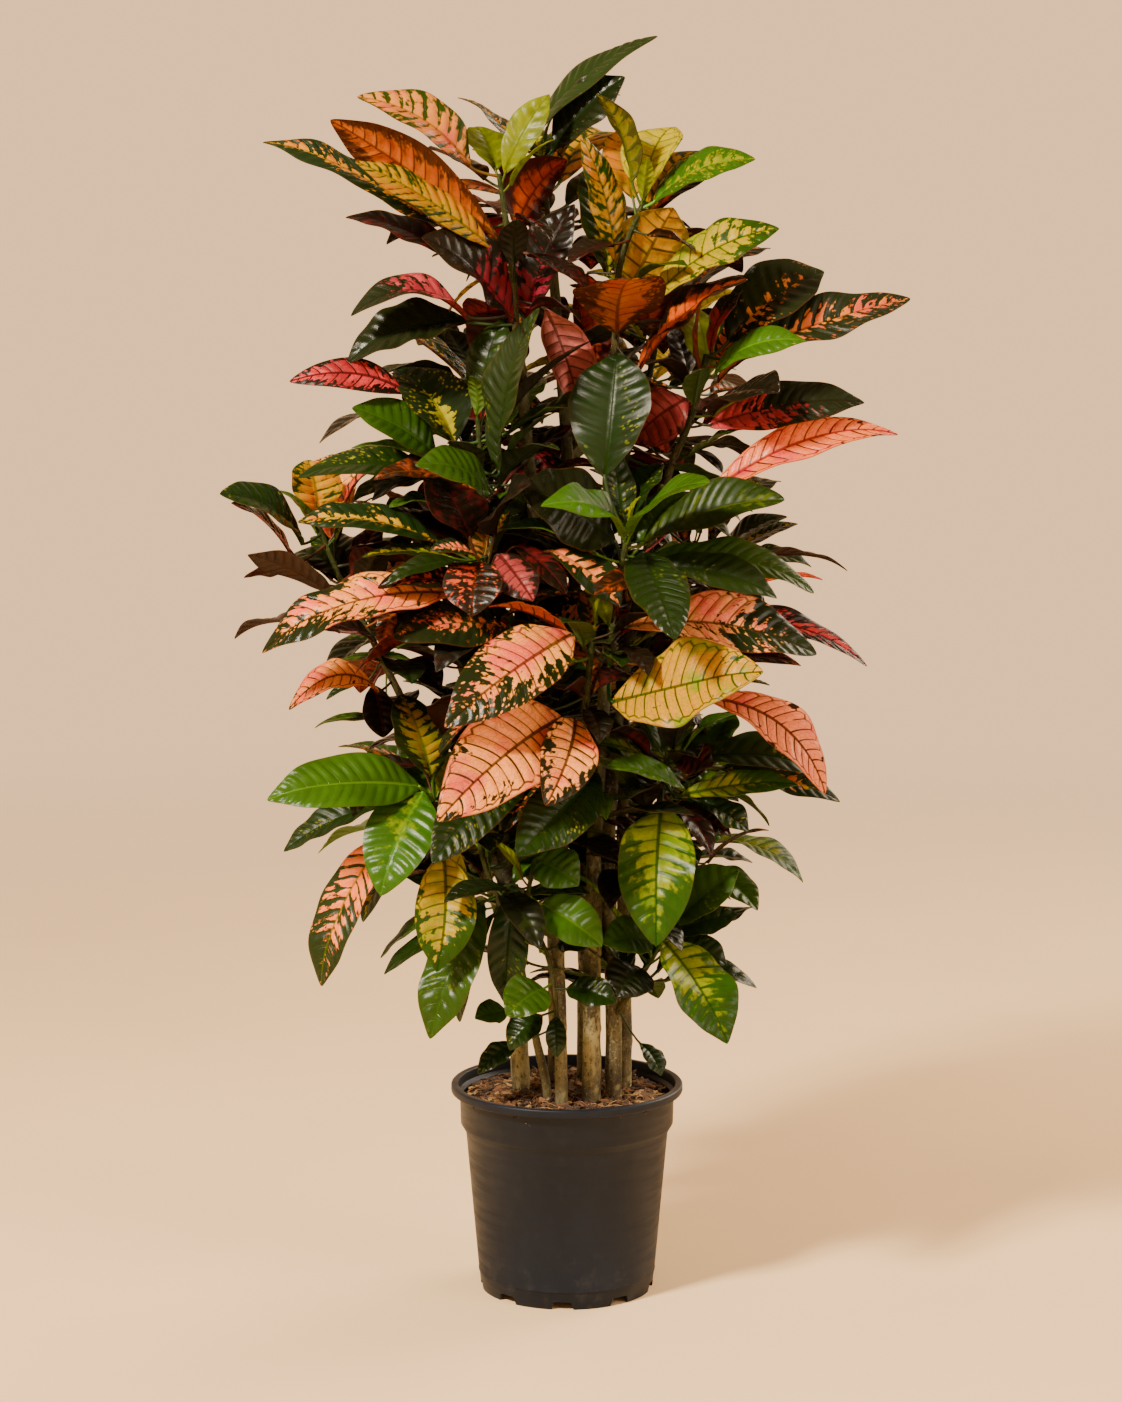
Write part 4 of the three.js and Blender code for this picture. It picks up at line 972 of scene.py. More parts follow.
     "farPaints": ("darkGreen", "salmonNet", "spotted", "greyGreen", "peachRib"),
     "leaves": ()},
    {"name": "back_low", "radius": (3.8, 2.6), "more": (8, -10, 240, 158),
     "path": ((12, 105, 498), (12, 118, 540), (10, 126, 588)),
     "farPaints": ("goldNet", "green", "blocks", "peachTip", "creamNet"),
     "leaves": ()},
    {"name": "back_left_low", "radius": (3.6, 2.6), "more": (7, 40, 230, 156),
     "path": ((-95, 99, 434), (-106, 110, 460), (-114, 116, 492)),
     "farPaints": ("green", "salmonPatch", "oliveGold", "brightGreen"),
     "leaves": ()},
    {"name": "back_right_low", "radius": (3.6, 2.6), "more": (7, -50, 230, 156),
     "path": ((101, 101, 434), (110, 110, 462), (116, 116, 494)),
     "farPaints": ("green", "blocks", "limePatch", "darkGreen"),
     "leaves": ()},
]

leafSpec = {
    "seed": 20931, "breadth": 1.14, "shortLeaf": 140, "stemFoot": 0.14, "stemEnd": 0.985, "scars": 28,
    "goldenShare": 0.618034, "turnStep": 5, "shortStalk": 14,
    # half the thickness of the solids' leaves at the tip, and how near to it a corner of the solid has to be
    "endHalf": 0.4, "match": 0.3,
    # finer than the solids: thickness of the blade, how far its edge sweeps forward, and how much wider it is
    "thickness": 0.62, "sweep": 0.12, "fuller": 1.06,
}


class Draws:
    # the solids' own seeded draws
    def __init__(self, seed):
        self.state = seed

    def next(self):
        word = 0xFFFFFFFF
        self.state = (self.state + 0x6D2B79F5) & word
        t = self.state
        t = ((t ^ (t >> 15)) * (t | 1)) & word
        t ^= (t + (((t ^ (t >> 7)) * (t | 61)) & word)) & word
        return ((t ^ (t >> 14)) & word) / 4294967296


up = Vector((0, 0, 1))
front = Vector((0, -1, 0))


def seen(x, y, z):
    reach = 1 - y / eye["y"]
    return Vector((eye["x"] + (x - eye["x"]) * reach, y, eye["z"] + (z - eye["z"]) * reach))


def alongPath(path, share):
    lengths = [(b - a).length for a, b in zip(path, path[1:])]
    left = share * sum(lengths)
    for i, length in enumerate(lengths):
        if left <= length or i == len(lengths) - 1:
            return path[i].lerp(path[i + 1], left / length)
        left -= length


def faceOf(along, turnDegrees):
    level = up - along * up.dot(along)
    if level.length_squared < 1e-6:
        level = front.copy()
    level.normalize()
    across = along.cross(level)
    if across.dot(front) < 0:
        across.negate()
    turn = math.radians(turnDegrees)
    return (level * math.cos(turn) + across * math.sin(turn)).normalized()


def rootOn(path, base, taken):
    best = None
    for i in range(leafSpec["scars"] + 1):
        if i in taken:
            continue
        share = leafSpec["stemFoot"] + (leafSpec["stemEnd"] - leafSpec["stemFoot"]) * i / leafSpec["scars"]
        spot = alongPath(path, share)
        if best is None or (spot - base).length < best[0]:
            best = ((spot - base).length, spot, i)
    taken.add(best[2])
    return best[1]


def shapedLeaf(draws, root, base, tip, width, arch, turnDegrees, paint):
    toTip = (tip - root).normalized()
    if (base - root).length < leafSpec["shortStalk"]:
        base = root + toTip * leafSpec["shortStalk"]
    along = (tip - base).normalized()
    return {"root": root, "base": base, "tip": tip, "width": width, "arch": arch, "paint": paint,
            "face": faceOf(along, turnDegrees), "wave": 0.04 + 0.1 * draws.next()}


def heading(azimuth, lift):
    return Vector((math.cos(azimuth) * math.cos(lift), math.sin(azimuth) * math.cos(lift), math.sin(lift)))


# Far-side leaves: lift and place along the stem run from the first, at the top, to the last
farSpec = {"topLift": 58, "lowLift": -34, "topPlace": 0.97, "lowPlace": 0.18}


def farLeaf(draws, path, i, more, paints):
    count, first, sweep, length = more
    share = (i + 0.5) / count
    azimuth = math.radians(first + sweep * ((i * leafSpec["goldenShare"] + 0.1 * draws.next()) % 1))
    top = farSpec["topLift"]
    lift = math.radians(top + (farSpec["lowLift"] - top) * share + 16 * (draws.next() - 0.5))
    size = length * (0.72 + 0.36 * draws.next()) * (0.72 if share < 0.2 else 1)
    root = alongPath(path, farSpec["topPlace"] + (farSpec["lowPlace"] - farSpec["topPlace"]) * share)
    along = heading(azimuth, lift)
    base = root + along * (0.16 * size + 6)
    tip = root + along * size
    width = size * (0.33 + 0.1 * draws.next())
    arch = size * (0.06 + 0.1 * draws.next())
    turn = 30 * (draws.next() - 0.5)
    return shapedLeaf(draws, root, base, tip, width, arch, turn, paints[i % len(paints)])


# The turns and sizes in which the solids' leaves look for room, in the same order
leafMoves = []
for shrunk in (1, 0.88, 0.76, 0.64):
    leafMoves.append((0, 0, shrunk))
    for ring in range(1, 6):
        for spoke in range(8):
            angle = spoke * math.pi / 4
            reach = ring * leafSpec["turnStep"]
            leafMoves.append((reach * math.sin(angle), reach * math.cos(angle), shrunk))


def movedLeaf(leaf, pitch, yaw, size):
    reach = leaf["tip"] - leaf["root"]
    flat = Vector((reach.x, reach.y, 0))
    if flat.length_squared < 1:
        flat = Vector((1, 0, 0))
    tiltAxis = flat.normalized().cross(up)
    turn = Quaternion(up, math.radians(yaw)) @ Quaternion(tiltAxis, math.radians(pitch))
    moved = dict(leaf)
    for key in ("base", "tip"):
        moved[key] = turn @ (leaf[key] - leaf["root"]) * size + leaf["root"]
    moved["face"] = turn @ leaf["face"]
    moved["width"] = leaf["width"] * size
    moved["arch"] = leaf["arch"] * size
    return moved


def leafFrame(leaf):
    chord = leaf["tip"] - leaf["base"]
    along = chord.normalized()
    face = (leaf["face"] - along * leaf["face"].dot(along)).normalized()
    return chord, along, face


def placedLeaf(leaf, tree):
    # the move with which the solid's leaf was placed: its two tip corners are in the solid
    for pitch, yaw, size in leafMoves:
        moved = movedLeaf(leaf, pitch, yaw, size)
        chord, along, face = leafFrame(moved)
        endNormal = (face + along * (moved["arch"] * 4 / chord.length)).normalized()
        ends = [moved["tip"] + endNormal * (leafSpec["endHalf"] * side) for side in (1, -1)]
        if all(tree.find(end)[2] < leafSpec["match"] for end in ends):
            return moved
    return None


def placedLeaves():
    draws = Draws(leafSpec["seed"])
    found = {stem["name"]: [] for stem in stems}
    for stem in stems:
        stem["line"] = [Vector(place) for place in stem["path"]]
        taken = set()
        for bx, bz, by, tx, tz, ty, width, arch, turn, paint in stem["leaves"]:
            base = seen(bx, by, bz)
            root = rootOn(stem["line"], base, taken)
            found[stem["name"]].append(shapedLeaf(draws, root, base, seen(tx, ty, tz),
                                                  width * leafSpec["breadth"], arch, turn, paint))
    for stem in stems:
        for i in range(stem["more"][0]):
            found[stem["name"]].append(farLeaf(draws, stem["line"], i, stem["more"], stem["farPaints"]))
    missed = 0
    for stem in stems:
        corners = frame["nodes"]["leafy_stem_" + stem["name"]].data.vertices
        tree = kdtree.KDTree(len(corners))
        for i, corner in enumerate(corners):
            tree.insert(corner.co / mm, i)
        tree.balance()
        placed = [placedLeaf(leaf, tree) for leaf in found[stem["name"]]]
        missed += placed.count(None)
        found[stem["name"]] = [leaf for leaf in placed if leaf]
    print("leaves placed:", sum(len(some) for some in found.values()), "not found:", missed)
    return found


# Paints. The five shades are ground, the blade's own green; patch, its variegation; blush, to which the
# patch turns in clouds; vein, for midrib and side veins; and under, for the underside. amount: how much of
# the blade is patch; along and across: where it gathers (-1 stalk or midrib, 1 tip or edge); net: dark veins
# over the patch; veins: how far the side veins show on the ground; spots: loose flecks; blocks: patch held
# between the side veins; soft: a gradual edge; glow: light through the blade.
def paint(shades, **traits):
    names = ("ground", "patch", "blush", "vein", "under")
    base = {"amount": 0.0, "along": 0.0, "across": 0.0, "net": 0.0, "veins": 0.1, "spots": 0.0, "blocks": 0.0,
            "soft": 0.0, "glow": 0.2}
    return {**base, **dict(zip(names, shades.split())), **traits}


paints = {
    "green": paint("3a5c0a a0a828 a0a828 4c6c1c 627a2e", spots=0.1),
    "darkGreen": paint("1a3604 a8a830 a8a830 243a0c 50622a", spots=0.12),
    "brightGreen": paint("4a7608 c8b23c c8b23c 749c24 769432", glow=0.3),
    "paleGreen": paint("58842c c8b23c c8b23c 84ac50 7ca04c"),
    "lime": paint("788400 949c00 848c00 606c04 707c00", amount=0.5, soft=0.6, glow=0.36),
    "limePatch": paint("42700e 80980c 80980c 5c8c24 648c20", amount=0.24, along=-0.3, across=-0.6,
                       soft=0.5),
    "limeSpeckle": paint("487608 b0ac00 8ca004 78ac20 7ca01c", amount=0.3, across=-0.5, spots=0.5,
                         blocks=0.3, soft=0.3, glow=0.4),
    "greyGreen": paint("243a0e 98a030 98a030 2c401a 363f24", spots=0.1),
    "greyGold": paint("223418 a89c14 a89c14 3c602c 4c5c2c", amount=0.1, along=-1.2, across=-1.2, spots=0.2,
                      blocks=0.2),
    "olive": paint("2c440a 586810 586810 647028 4c5424", amount=0.35, soft=0.4),
    "oliveBlack": paint("181e0a 2c3810 2c3810 30401c 382c20", amount=0.25, soft=0.3),
    "oliveGold": paint("2c3c0a b09800 788c08 506c1c 605c14", amount=0.34, across=-0.8, net=0.6, blocks=0.3,
                       glow=0.36),
    "blocks": paint("365e0a 949c00 6c8a08 1c4c0c 5c8420", amount=0.46, along=-1.7, across=-0.5, net=0.8,
                    blocks=0.4, soft=0.45, glow=0.3),
    "gold": paint("447404 dcc800 b8b000 3c640c b8a400", amount=0.84, along=-0.3, across=-0.5, net=0.8,
                  soft=0.2, glow=0.5),
    "goldNet": paint("365a0a c4ac00 8c9c08 1c5010 989014", amount=0.58, along=-0.9, across=-0.4, net=0.9,
                     blocks=0.1, glow=0.4),
    "goldMottle": paint("24500c c8a000 d0840c 4c6410 a87c10", amount=0.55, net=0.4, spots=0.3, blocks=0.3,
                        soft=0.3, glow=0.4),
    "creamNet": paint("1c4c0c c09418 7c9000 184408 b0a040", amount=0.94, along=-0.5, across=-0.2, net=1.0,
                      glow=0.3),
    "peachNet": paint("1c280e ffb264 f47860 2c2010 c8604c", amount=0.8, along=-0.7, across=-0.5, net=1.0,
                      glow=0.3),
    "peachMottle": paint("1e300e fcaa5c f07060 34240e a8503c", amount=0.58, along=-1.1, across=-0.3,
                         net=0.9, spots=0.5, blocks=0.1, glow=0.28),
    "peachTip": paint("1e300e fcac6c f47c78 34301c a8584c", amount=0.46, along=-1.5, net=0.8, spots=0.3),
    "peachRib": paint("1c3414 f09c5c e87858 8c5030 843430", amount=0.3, along=-0.7, across=-1.0, net=0.4,
                      blocks=0.6),
    "salmonPatch": paint("263a0c f48c50 f0a060 5c6c1c 6c6430", amount=0.42, along=-1.3, net=0.4, spots=0.2,
                         blocks=0.5),
    "salmonNet": paint("3c1014 ee8c54 e05464 8c2030 d05c5c", amount=0.9, along=-0.5, across=-0.4, net=1.0,
                       glow=0.34),
    "salmonRib": paint("28140c fca078 f07480 34140c c8604c", amount=0.94, across=-0.4, net=1.0, glow=0.3),
    "salmonUnder": paint("3c2018 cc8078 b05c5c 2c1010 bc7268", amount=0.8, net=0.8, soft=0.5, glow=0.3),
    "pinkMottle": paint("34540e e49c4c e4705c 7c5c18 c0682c", amount=0.5, across=-0.2, net=0.3, spots=0.4,
                        blocks=0.3, soft=0.15, glow=0.34),
    "redNet": paint("200c0c d04c50 a02834 40101a 842430", amount=0.54, along=-0.5, across=-0.7, net=1.0,
                    spots=0.5, glow=0.26),
    "pinkUnder": paint("301010 a84c4c 883438 44141a 8c4044", amount=0.6, across=-0.8, net=0.8, spots=0.3,
                       soft=0.3, glow=0.3),
    "crimsonUnder": paint("240a0c 701a24 701a24 6c2428 541418", amount=0.3, soft=0.3, glow=0.3),
    "blackPink": paint("180806 982440 6c1428 300a0e 280c0a", amount=0.14, along=-1.5, across=-0.3,
                       spots=0.1, blocks=0.3),
    "darkPink": paint("202a10 d05460 a43040 34241c 5c2834", amount=0.36, along=-1.7, across=-0.1, net=0.5,
                      spots=0.2, blocks=0.15),
    "darkGloss": paint("1a260a 8c9434 8c9434 20401a 38342a", spots=0.08),
    "spotted": paint("1c3412 c09410 b8601c 3c481c 54282c", amount=0.06, across=-1.0, spots=0.4, blocks=0.3),
    "darkEmber": paint("222e12 d88840 d06048 34401c 5c3424", amount=0.14, along=-0.4, across=-0.3,
                       spots=0.2, blocks=0.5),
    "ember": paint("24120a d86438 b84030 5c2414 782c1c", amount=0.34, net=0.4, spots=0.4, blocks=0.3,
                   glow=0.26),
    "flame": paint("200c06 dc7008 a83408 301808 7c2808", amount=0.5, along=-0.5, across=-1.5, net=0.7,
                   spots=0.2, soft=0.5, glow=0.5),
    "orangeUnder": paint("2c1406 dc8c08 c85808 3c2008 7c4408", amount=0.54, across=-1.3, net=0.8,
                         spots=0.5, soft=0.3, glow=0.5),
    "amberUnder": paint("504c04 e0ac00 b89400 3c400a b89400", amount=0.6, across=-0.9, net=0.9, soft=0.6,
                        glow=0.5),
    "orangeBrown": paint("381c0a a84c14 a84c14 8c4c24 843c14", amount=0.4, soft=0.5),
    "brownGrey": paint("281c14 4c2c1c 4c2c1c 503c30 4c3428", amount=0.3, soft=0.5),
    "blackBrown": paint("140a06 30160c 30160c 381c10 28140c", amount=0.3, soft=0.4),
    "maroon": paint("220a0c 58141a 58141a 5c2022 441216", amount=0.3, soft=0.4),
}


def bladeOutline(u, leaf):
    # half width as a share of the full half width: narrow at the stalk, drawn out to a point
    swell = np.sin(np.pi * np.clip(u, 0, 1) ** leaf["belly"]) ** 0.70
    swell = swell * (1 - leaf["tipCut"] * smoothStep(0.80, 1.0, u))
    return swell * (1 - leaf["baseCut"] * smoothStep(0.22, 0.0, u))


def halfWidth(u, leaf):
    # in millimetres; the blade runs out into its stalk, and its edges never quite meet
    return bladeOutline(u, leaf) * leaf["width"] / 2 + 1.3 * (1 - u) ** 3 + 0.12


def bladePoints(leaf, s, v, sheet, calm=1.0):
    # places on the blade, in millimetres, for s along the midrib, v across and sheet 1 above or 0 below
    chord, along, face = (np.array(part) for part in leafFrame(leaf))
    across = np.cross(along, face)
    length = np.linalg.norm(chord)
    w = np.abs(v)
    u = np.clip(s + leafSpec["sweep"] * w ** 1.3 * np.sin(np.pi * np.clip(s, 0, 1)) ** 0.8, 0, 1)
    half = halfWidth(u, leaf)
    first, step = (0.36, 0.38) if length < leafSpec["shortLeaf"] else (0.26, 0.28)
    rock = leaf["wave"] * np.cos(np.pi * (u - first) / step)
    fold = leaf["fold"] * calm * (1 - 0.65 * u)
    ruffle = leaf["ruffle"] * calm * half * w ** 2.4
    ruffle = ruffle * np.sin(math.tau * (leaf["ruffles"] * u + leaf["phase"] + 0.31 * np.sign(v)))
    vein = s * leaf["pairs"] + 0.25 * np.sign(v)
    quilt = np.abs(np.sin(np.pi * vein)) ** 0.7 * smoothStep(0.02, 0.22, w) * smoothStep(1.0, 0.8, w)
    quilt = quilt * smoothStep(0.0, 0.08, u) * smoothStep(1.0, 0.86, u) * leaf["quilt"]
    groove = -0.3 * np.exp(-(w * half / 1.6) ** 2) * (1 - u)
    keel = (1.7 * (1 - u) ** 1.3 + 0.25) * np.exp(-(w * half / 1.3) ** 2)
    upper = sheet > 0.5
    rise = half * (v * rock + w * fold) + ruffle + quilt + groove
    rise = rise + np.where(upper, 0.5, -0.5) * leafSpec["thickness"] - np.where(upper, 0, keel)
    slope = leaf["arch"] * 4 * (1 - 2 * u) / length
    normal = face - along * slope[:, None]
    normal = normal / np.linalg.norm(normal, axis=1)[:, None]
    sickle = leaf["sickle"] * calm * length * 4 * u * (1 - u)
    droop = leaf["droop"] * calm * length * np.clip((u - 0.72) / 0.28, 0, 1) ** 2
    bow = leaf["arch"] * 4 * u * (1 - u) - droop
    centre = np.array(leaf["base"]) + chord * u[:, None] + face * bow[:, None]
    side = half * v * np.cos(np.arctan(fold)) + sickle
    return centre + across * side[:, None] + normal * rise[:, None]


def stalkLine(leaf, steps):
    # a stalk that leaves the stem towards the blade and meets it along its midrib
    root = np.array(leaf["root"])
    base = np.array(leaf["base"])
    chord, along, face = (np.array(part) for part in leafFrame(leaf))
    start = chord + face * leaf["arch"] * 4
    start = start / np.linalg.norm(start)
    reach = np.linalg.norm(base - root)
    t = np.linspace(0, 1, steps + 1)[:, None]
    end = base + start * 3.0
    leave = (end - root) * 0.9 - np.array((0, 0, 0.22)) * reach
    arrive = start * reach * 0.8
    return ((2 * t ** 3 - 3 * t ** 2 + 1) * root + (t ** 3 - 2 * t ** 2 + t) * leave
            + (3 * t ** 2 - 2 * t ** 3) * end + (t ** 3 - t ** 2) * arrive)


# Materials of the leafy stems. Each paint's colour carries one of the pattern's strengths as its alpha.
paintNames = ("ground", "patch", "vein", "under", "blush")
strengthNames = ("amount", "net", "veins", "spots", "soft")


def leafBlade():
    shader = Shader("leafBlade")
    maths = shader.maths
    ramp = shader.ramp
    mix = shader.mix
    times = shader.times
    less = shader.less
    s, v, sheet = shader.parts("bladePlace")
    across, along, seed = shader.parts("bladeReach")
    gatherAlong, gatherAcross, blocks = shader.parts("gather")
    pairs, glow, gloss = shader.parts("build")
    given = [shader.attribute(name + "Paint").outputs for name in paintNames]
    ground, patch, vein, under, blush = [outputs["Color"] for outputs in given]
    amount, net, veins, spots, soft = [outputs["Alpha"] for outputs in given]

    # the blade's map: w from midrib to edge, lateral counts the side veins, veinNear goes from vein to midway
    w = maths("ABSOLUTE", v)
    hand = maths("SIGN", v)
    stray = shader.noise(shader.vector(times(along, 0.035), times(hand, 5), seed), 1.0, 2)
    stray = maths("SUBTRACT", stray, 0.5)
    lateral = maths("MULTIPLY_ADD", hand, 0.25, maths("MULTIPLY_ADD", stray, 0.9, times(s, pairs)))
    veinNear = maths("ABSOLUTE", maths("SUBTRACT", maths("FRACT", maths("ADD", lateral, 0.5)), 0.5))
    run = shader.vector(along, across, seed)

    # where the patch lies
    flecks = shader.noise(shader.vector(times(lateral, 1.9), times(across, 0.12), seed), 1.0, 4)
    clouds = shader.noise(shader.vector(times(along, 0.02), times(across, 0.028), seed), 1.0, 2)
    cellPlace = shader.vector(maths("FLOOR", lateral), times(hand, 3), seed)
    cell = shader.node("TexWhiteNoise", None, Vector=cellPlace).outputs["Value"]
    push = maths("MULTIPLY_ADD", amount, 1.6, -0.8)
    push = maths("MULTIPLY_ADD", maths("SUBTRACT", flecks, 0.5), 2.3, push)
    push = maths("MULTIPLY_ADD", maths("SUBTRACT", clouds, 0.5), 1.9, push)
    push = maths("MULTIPLY_ADD", times(gatherAlong, maths("SUBTRACT", s, 0.5)), 1.2, push)
    push = maths("MULTIPLY_ADD", times(gatherAcross, maths("SUBTRACT", w, 0.5)), 1.4, push)
    held = maths("MULTIPLY_ADD", ramp(veinNear, 0.05, 0.22), 1.6, maths("SUBTRACT", times(cell, 0.6), w))
    push = maths("MULTIPLY_ADD", blocks, maths("SUBTRACT", held, 1.05), push)
    width = maths("MULTIPLY_ADD", soft, 0.55, 0.07)
    patchMask = ramp(push, maths("MULTIPLY", width, -1), width)
    fleckPlace = shader.vector(times(lateral, 3.0), times(across, 0.17), seed)
    fleck = shader.node("TexVoronoi", None, Vector=fleckPlace, Scale=1.0).outputs["Distance"]
    fleckClouds = ramp(maths("MULTIPLY_ADD", spots, 0.3, clouds), 0.56, 0.66)
    fleckMask = times(less(ramp(fleck, 0.22, 0.36)), fleckClouds, ramp(spots, 0.0, 0.3))
    patchMask = maths("MAXIMUM", patchMask, fleckMask)

    # side veins that thin outwards and join in loops short of the edge, and a fainter net between them
    lineWidth = maths("MULTIPLY_ADD", w, -0.045, maths("MULTIPLY_ADD", net, 0.055, 0.06))
    sideLine = less(ramp(veinNear, times(lineWidth, 0.35), lineWidth))
    sideLine = times(sideLine, less(ramp(w, 0.80, 0.88)))
    loopReach = maths("MULTIPLY_ADD", veinNear, 0.2, 0.80)
    loops = less(ramp(maths("ABSOLUTE", maths("SUBTRACT", w, loopReach)), 0.012, 0.045))
    netPlace = shader.vector(times(lateral, 2.4), times(across, 0.2), seed)
    edges = shader.node("TexVoronoi", {"feature": "DISTANCE_TO_EDGE"}, Vector=netPlace, Scale=1.0)
    netLine = times(less(ramp(edges.outputs["Distance"], 0.01, 0.07)), 0.35)
    broken = ramp(shader.noise(run, 0.06, 3), 0.25, 0.42)
    darkLines = maths("MAXIMUM", maths("MAXIMUM", netLine, times(loops, 0.9)), sideLine)
    darkLines = times(darkLines, net, broken)

    # colours
    tone = ramp(shader.noise(run, 0.045, 4, 0.6), 0.3, 0.7)
    groundShade = mix(tone, mix(0.3, ground, colour("0a0d06")), ground)
    groundShade = mix(times(sideLine, veins), groundShade, vein)
    patchShade = mix(ramp(maths("MULTIPLY_ADD", tone, 0.2, clouds), 0.54, 0.82), patch, blush)
    patchShade = mix(darkLines, patchShade, ground)
    top = mix(patchMask, groundShade, patchShade)
    ribWidth = maths("MULTIPLY_ADD", less(s), 1.2, maths("MULTIPLY_ADD", net, 0.5, 0.5))
    rib = less(ramp(maths("DIVIDE", maths("ABSOLUTE", across), ribWidth), 0.7, 1.25))
    top = mix(times(rib, maths("MULTIPLY_ADD", net, 0.35, 0.5)), top, vein)
    margin = times(ramp(w, 0.94, 1.0), 0.6)
    top = mix(margin, top, mix(0.35, groundShade, colour("6a3414")))
    below = mix(times(patchMask, maths("MULTIPLY_ADD", soft, 0.5, 0.4)), under, patchShade)
    below = mix(times(less(patchMask), maths("MULTIPLY_ADD", soft, 0.5, 0.28)), below, ground)
    below = mix(times(maths("MAXIMUM", sideLine, rib), maths("MULTIPLY_ADD", net, 0.45, 0.35)), below, vein)
    upper = ramp(sheet, 0.4, 0.6)
    # a little pale olive grey mixed into every blade's colour lifts the darks and dulls the colours: painted
    # sheen and fill light
    shade = mix(0.02, mix(upper, below, top), colour("808450"))

    # relief, gloss and the light that comes through
    fine = shader.noise(run, 1.1, 3, 0.6)
    pucker = times(ramp(veinNear, 0.0, 0.42), less(ramp(w, 0.72, 0.98)), ramp(w, 0.0, 0.4))
    pucker = times(pucker, ramp(clouds, 0.2, 0.75))
    grooves = maths("MULTIPLY_ADD", pucker, 1.3, maths("SUBTRACT", times(fine, 0.2), times(sideLine, 0.3)))
    normal = shader.bump(times(grooves, maths("MULTIPLY_ADD", upper, 2, -1)), 0.001, 0.6)
    rough = maths("SUBTRACT", 0.58, times(upper, gloss))
    rough = maths("MULTIPLY_ADD", ramp(clouds, 0.35, 0.65), 0.08, rough)
    shine = times(maths("MULTIPLY_ADD", patchMask, -0.08, 0.25), maths("MULTIPLY_ADD", rib, -0.9, 1))
    surface = shader.node("BsdfPrincipled", None, Base_Color=shade, Roughness=rough,
                          Specular_IOR_Level=shine, Normal=normal)
    light = mix(0.5, shade, mix(patchMask, mix(0.5, under, ground), patch))
    light = shader.node("Gamma", None, Color=light, Gamma=0.78).outputs[0]
    through = shader.node("BsdfTranslucent", None, Color=light, Normal=normal)
    both = shader.node("MixShader", None, Fac=glow)
    shader.tree.links.new(surface.outputs[0], both.inputs[1])
    shader.tree.links.new(through.outputs[0], both.inputs[2])
    shader.tree.links.new(both.outputs[0], shader.node("OutputMaterial").inputs["Surface"])
    return shader.material


def leafStalk():
    shader = Shader("leafStalk")
    paint = shader.attribute("veinPaint").outputs["Color"]
    patches = shader.noise(shader.objectPlace(), 120, 3)
    shade = shader.mix(shader.ramp(patches, 0.35, 0.7), shader.mix(0.35, paint, colour("35401c")), paint)
    return shader.finish(Base_Color=shade, Roughness=0.5, Specular_IOR_Level=0.25,
                         Normal=shader.bump(patches, 0.0004, 0.4))


def stemSkin():
    shader = Shader("stemSkin")
    along, aroundSin, aroundCos = shader.parts("runAlong")
    green = shader.attribute("greenness").outputs["Fac"]
    lines = shader.noise(shader.vector(aroundSin, aroundCos, shader.times(along, 5)), 2.8, 4, 0.6)
    speck = shader.noise(shader.objectPlace(), 330, 3, 0.6)
    skin = shader.mix(shader.ramp(lines, 0.35, 0.65), colour("1c2408"), colour("303a14"))
    bark = shader.mix(shader.ramp(lines, 0.38, 0.6), colour("352a1c"), colour("5c4c36"))
    shade = shader.mix(green, bark, skin)
    shade = shader.mix(shader.times(shader.ramp(speck, 0.55, 0.7), 0.5), shade, colour("5c5c34"))
    return shader.finish(Base_Color=shade, Roughness=0.7, Specular_IOR_Level=0.12,
                         Normal=shader.bump(lines, 0.0007, 0.7))


# Blades, stalks and stems
traitSizes = {"bladePlace": 3, "bladeReach": 3, "gather": 3, "build": 3, "groundPaint": 4, "patchPaint": 4,
              "veinPaint": 4, "underPaint": 4, "blushPaint": 4, "runAlong": 3, "greenness": 1}
# name: (pairs of side veins, columns across, least length)
bladeSpec = {"large": (14, 14, 150), "middle": (10, 12, 95), "small": (7, 8, 0)}
blades = {}
for kind, (pairs, columns, _) in bladeSpec.items():
    blades[kind] = bladeTemplate(kind + "Blade", pairs, columns)
testBlade = bladeTemplate("testBlade", 4, 6)
stalkTube = tubeTemplate("stalkTube", 8, 10, 1)
testTube = tubeTemplate("testTube", 5, 4)
stemRings = 60
stemTube = tubeTemplate("stemTube", 14, stemRings, 2)


def dressed(leaf, order):
    # the leaf with its own finer form, drawn by its place in the order
    draws = random.Random(order * 7919 + 13)
    length = (leaf["tip"] - leaf["base"]).length
    leaf["width"] *= leafSpec["fuller"]
    size = next(name for name, (_, _, least) in bladeSpec.items() if length >= least)
    leaf.update(
        size=size, pairs=bladeSpec[size][0], seed=draws.uniform(0, 90),
        belly=draws.uniform(0.94, 1.2), tipCut=draws.uniform(0.05, 0.32), baseCut=draws.uniform(0.1, 0.4),
        fold=draws.uniform(0.12, 0.42), ruffle=draws.uniform(0.03, 0.09), ruffles=draws.uniform(2.0, 3.8),
        phase=draws.random(),
        quilt=draws.uniform(1.0, 1.9) * min(1, leaf["width"] / 60), sickle=draws.uniform(-0.035, 0.035),
        droop=draws.uniform(0.0, 0.06), gloss=draws.uniform(0.24, 0.38))
    return leaf


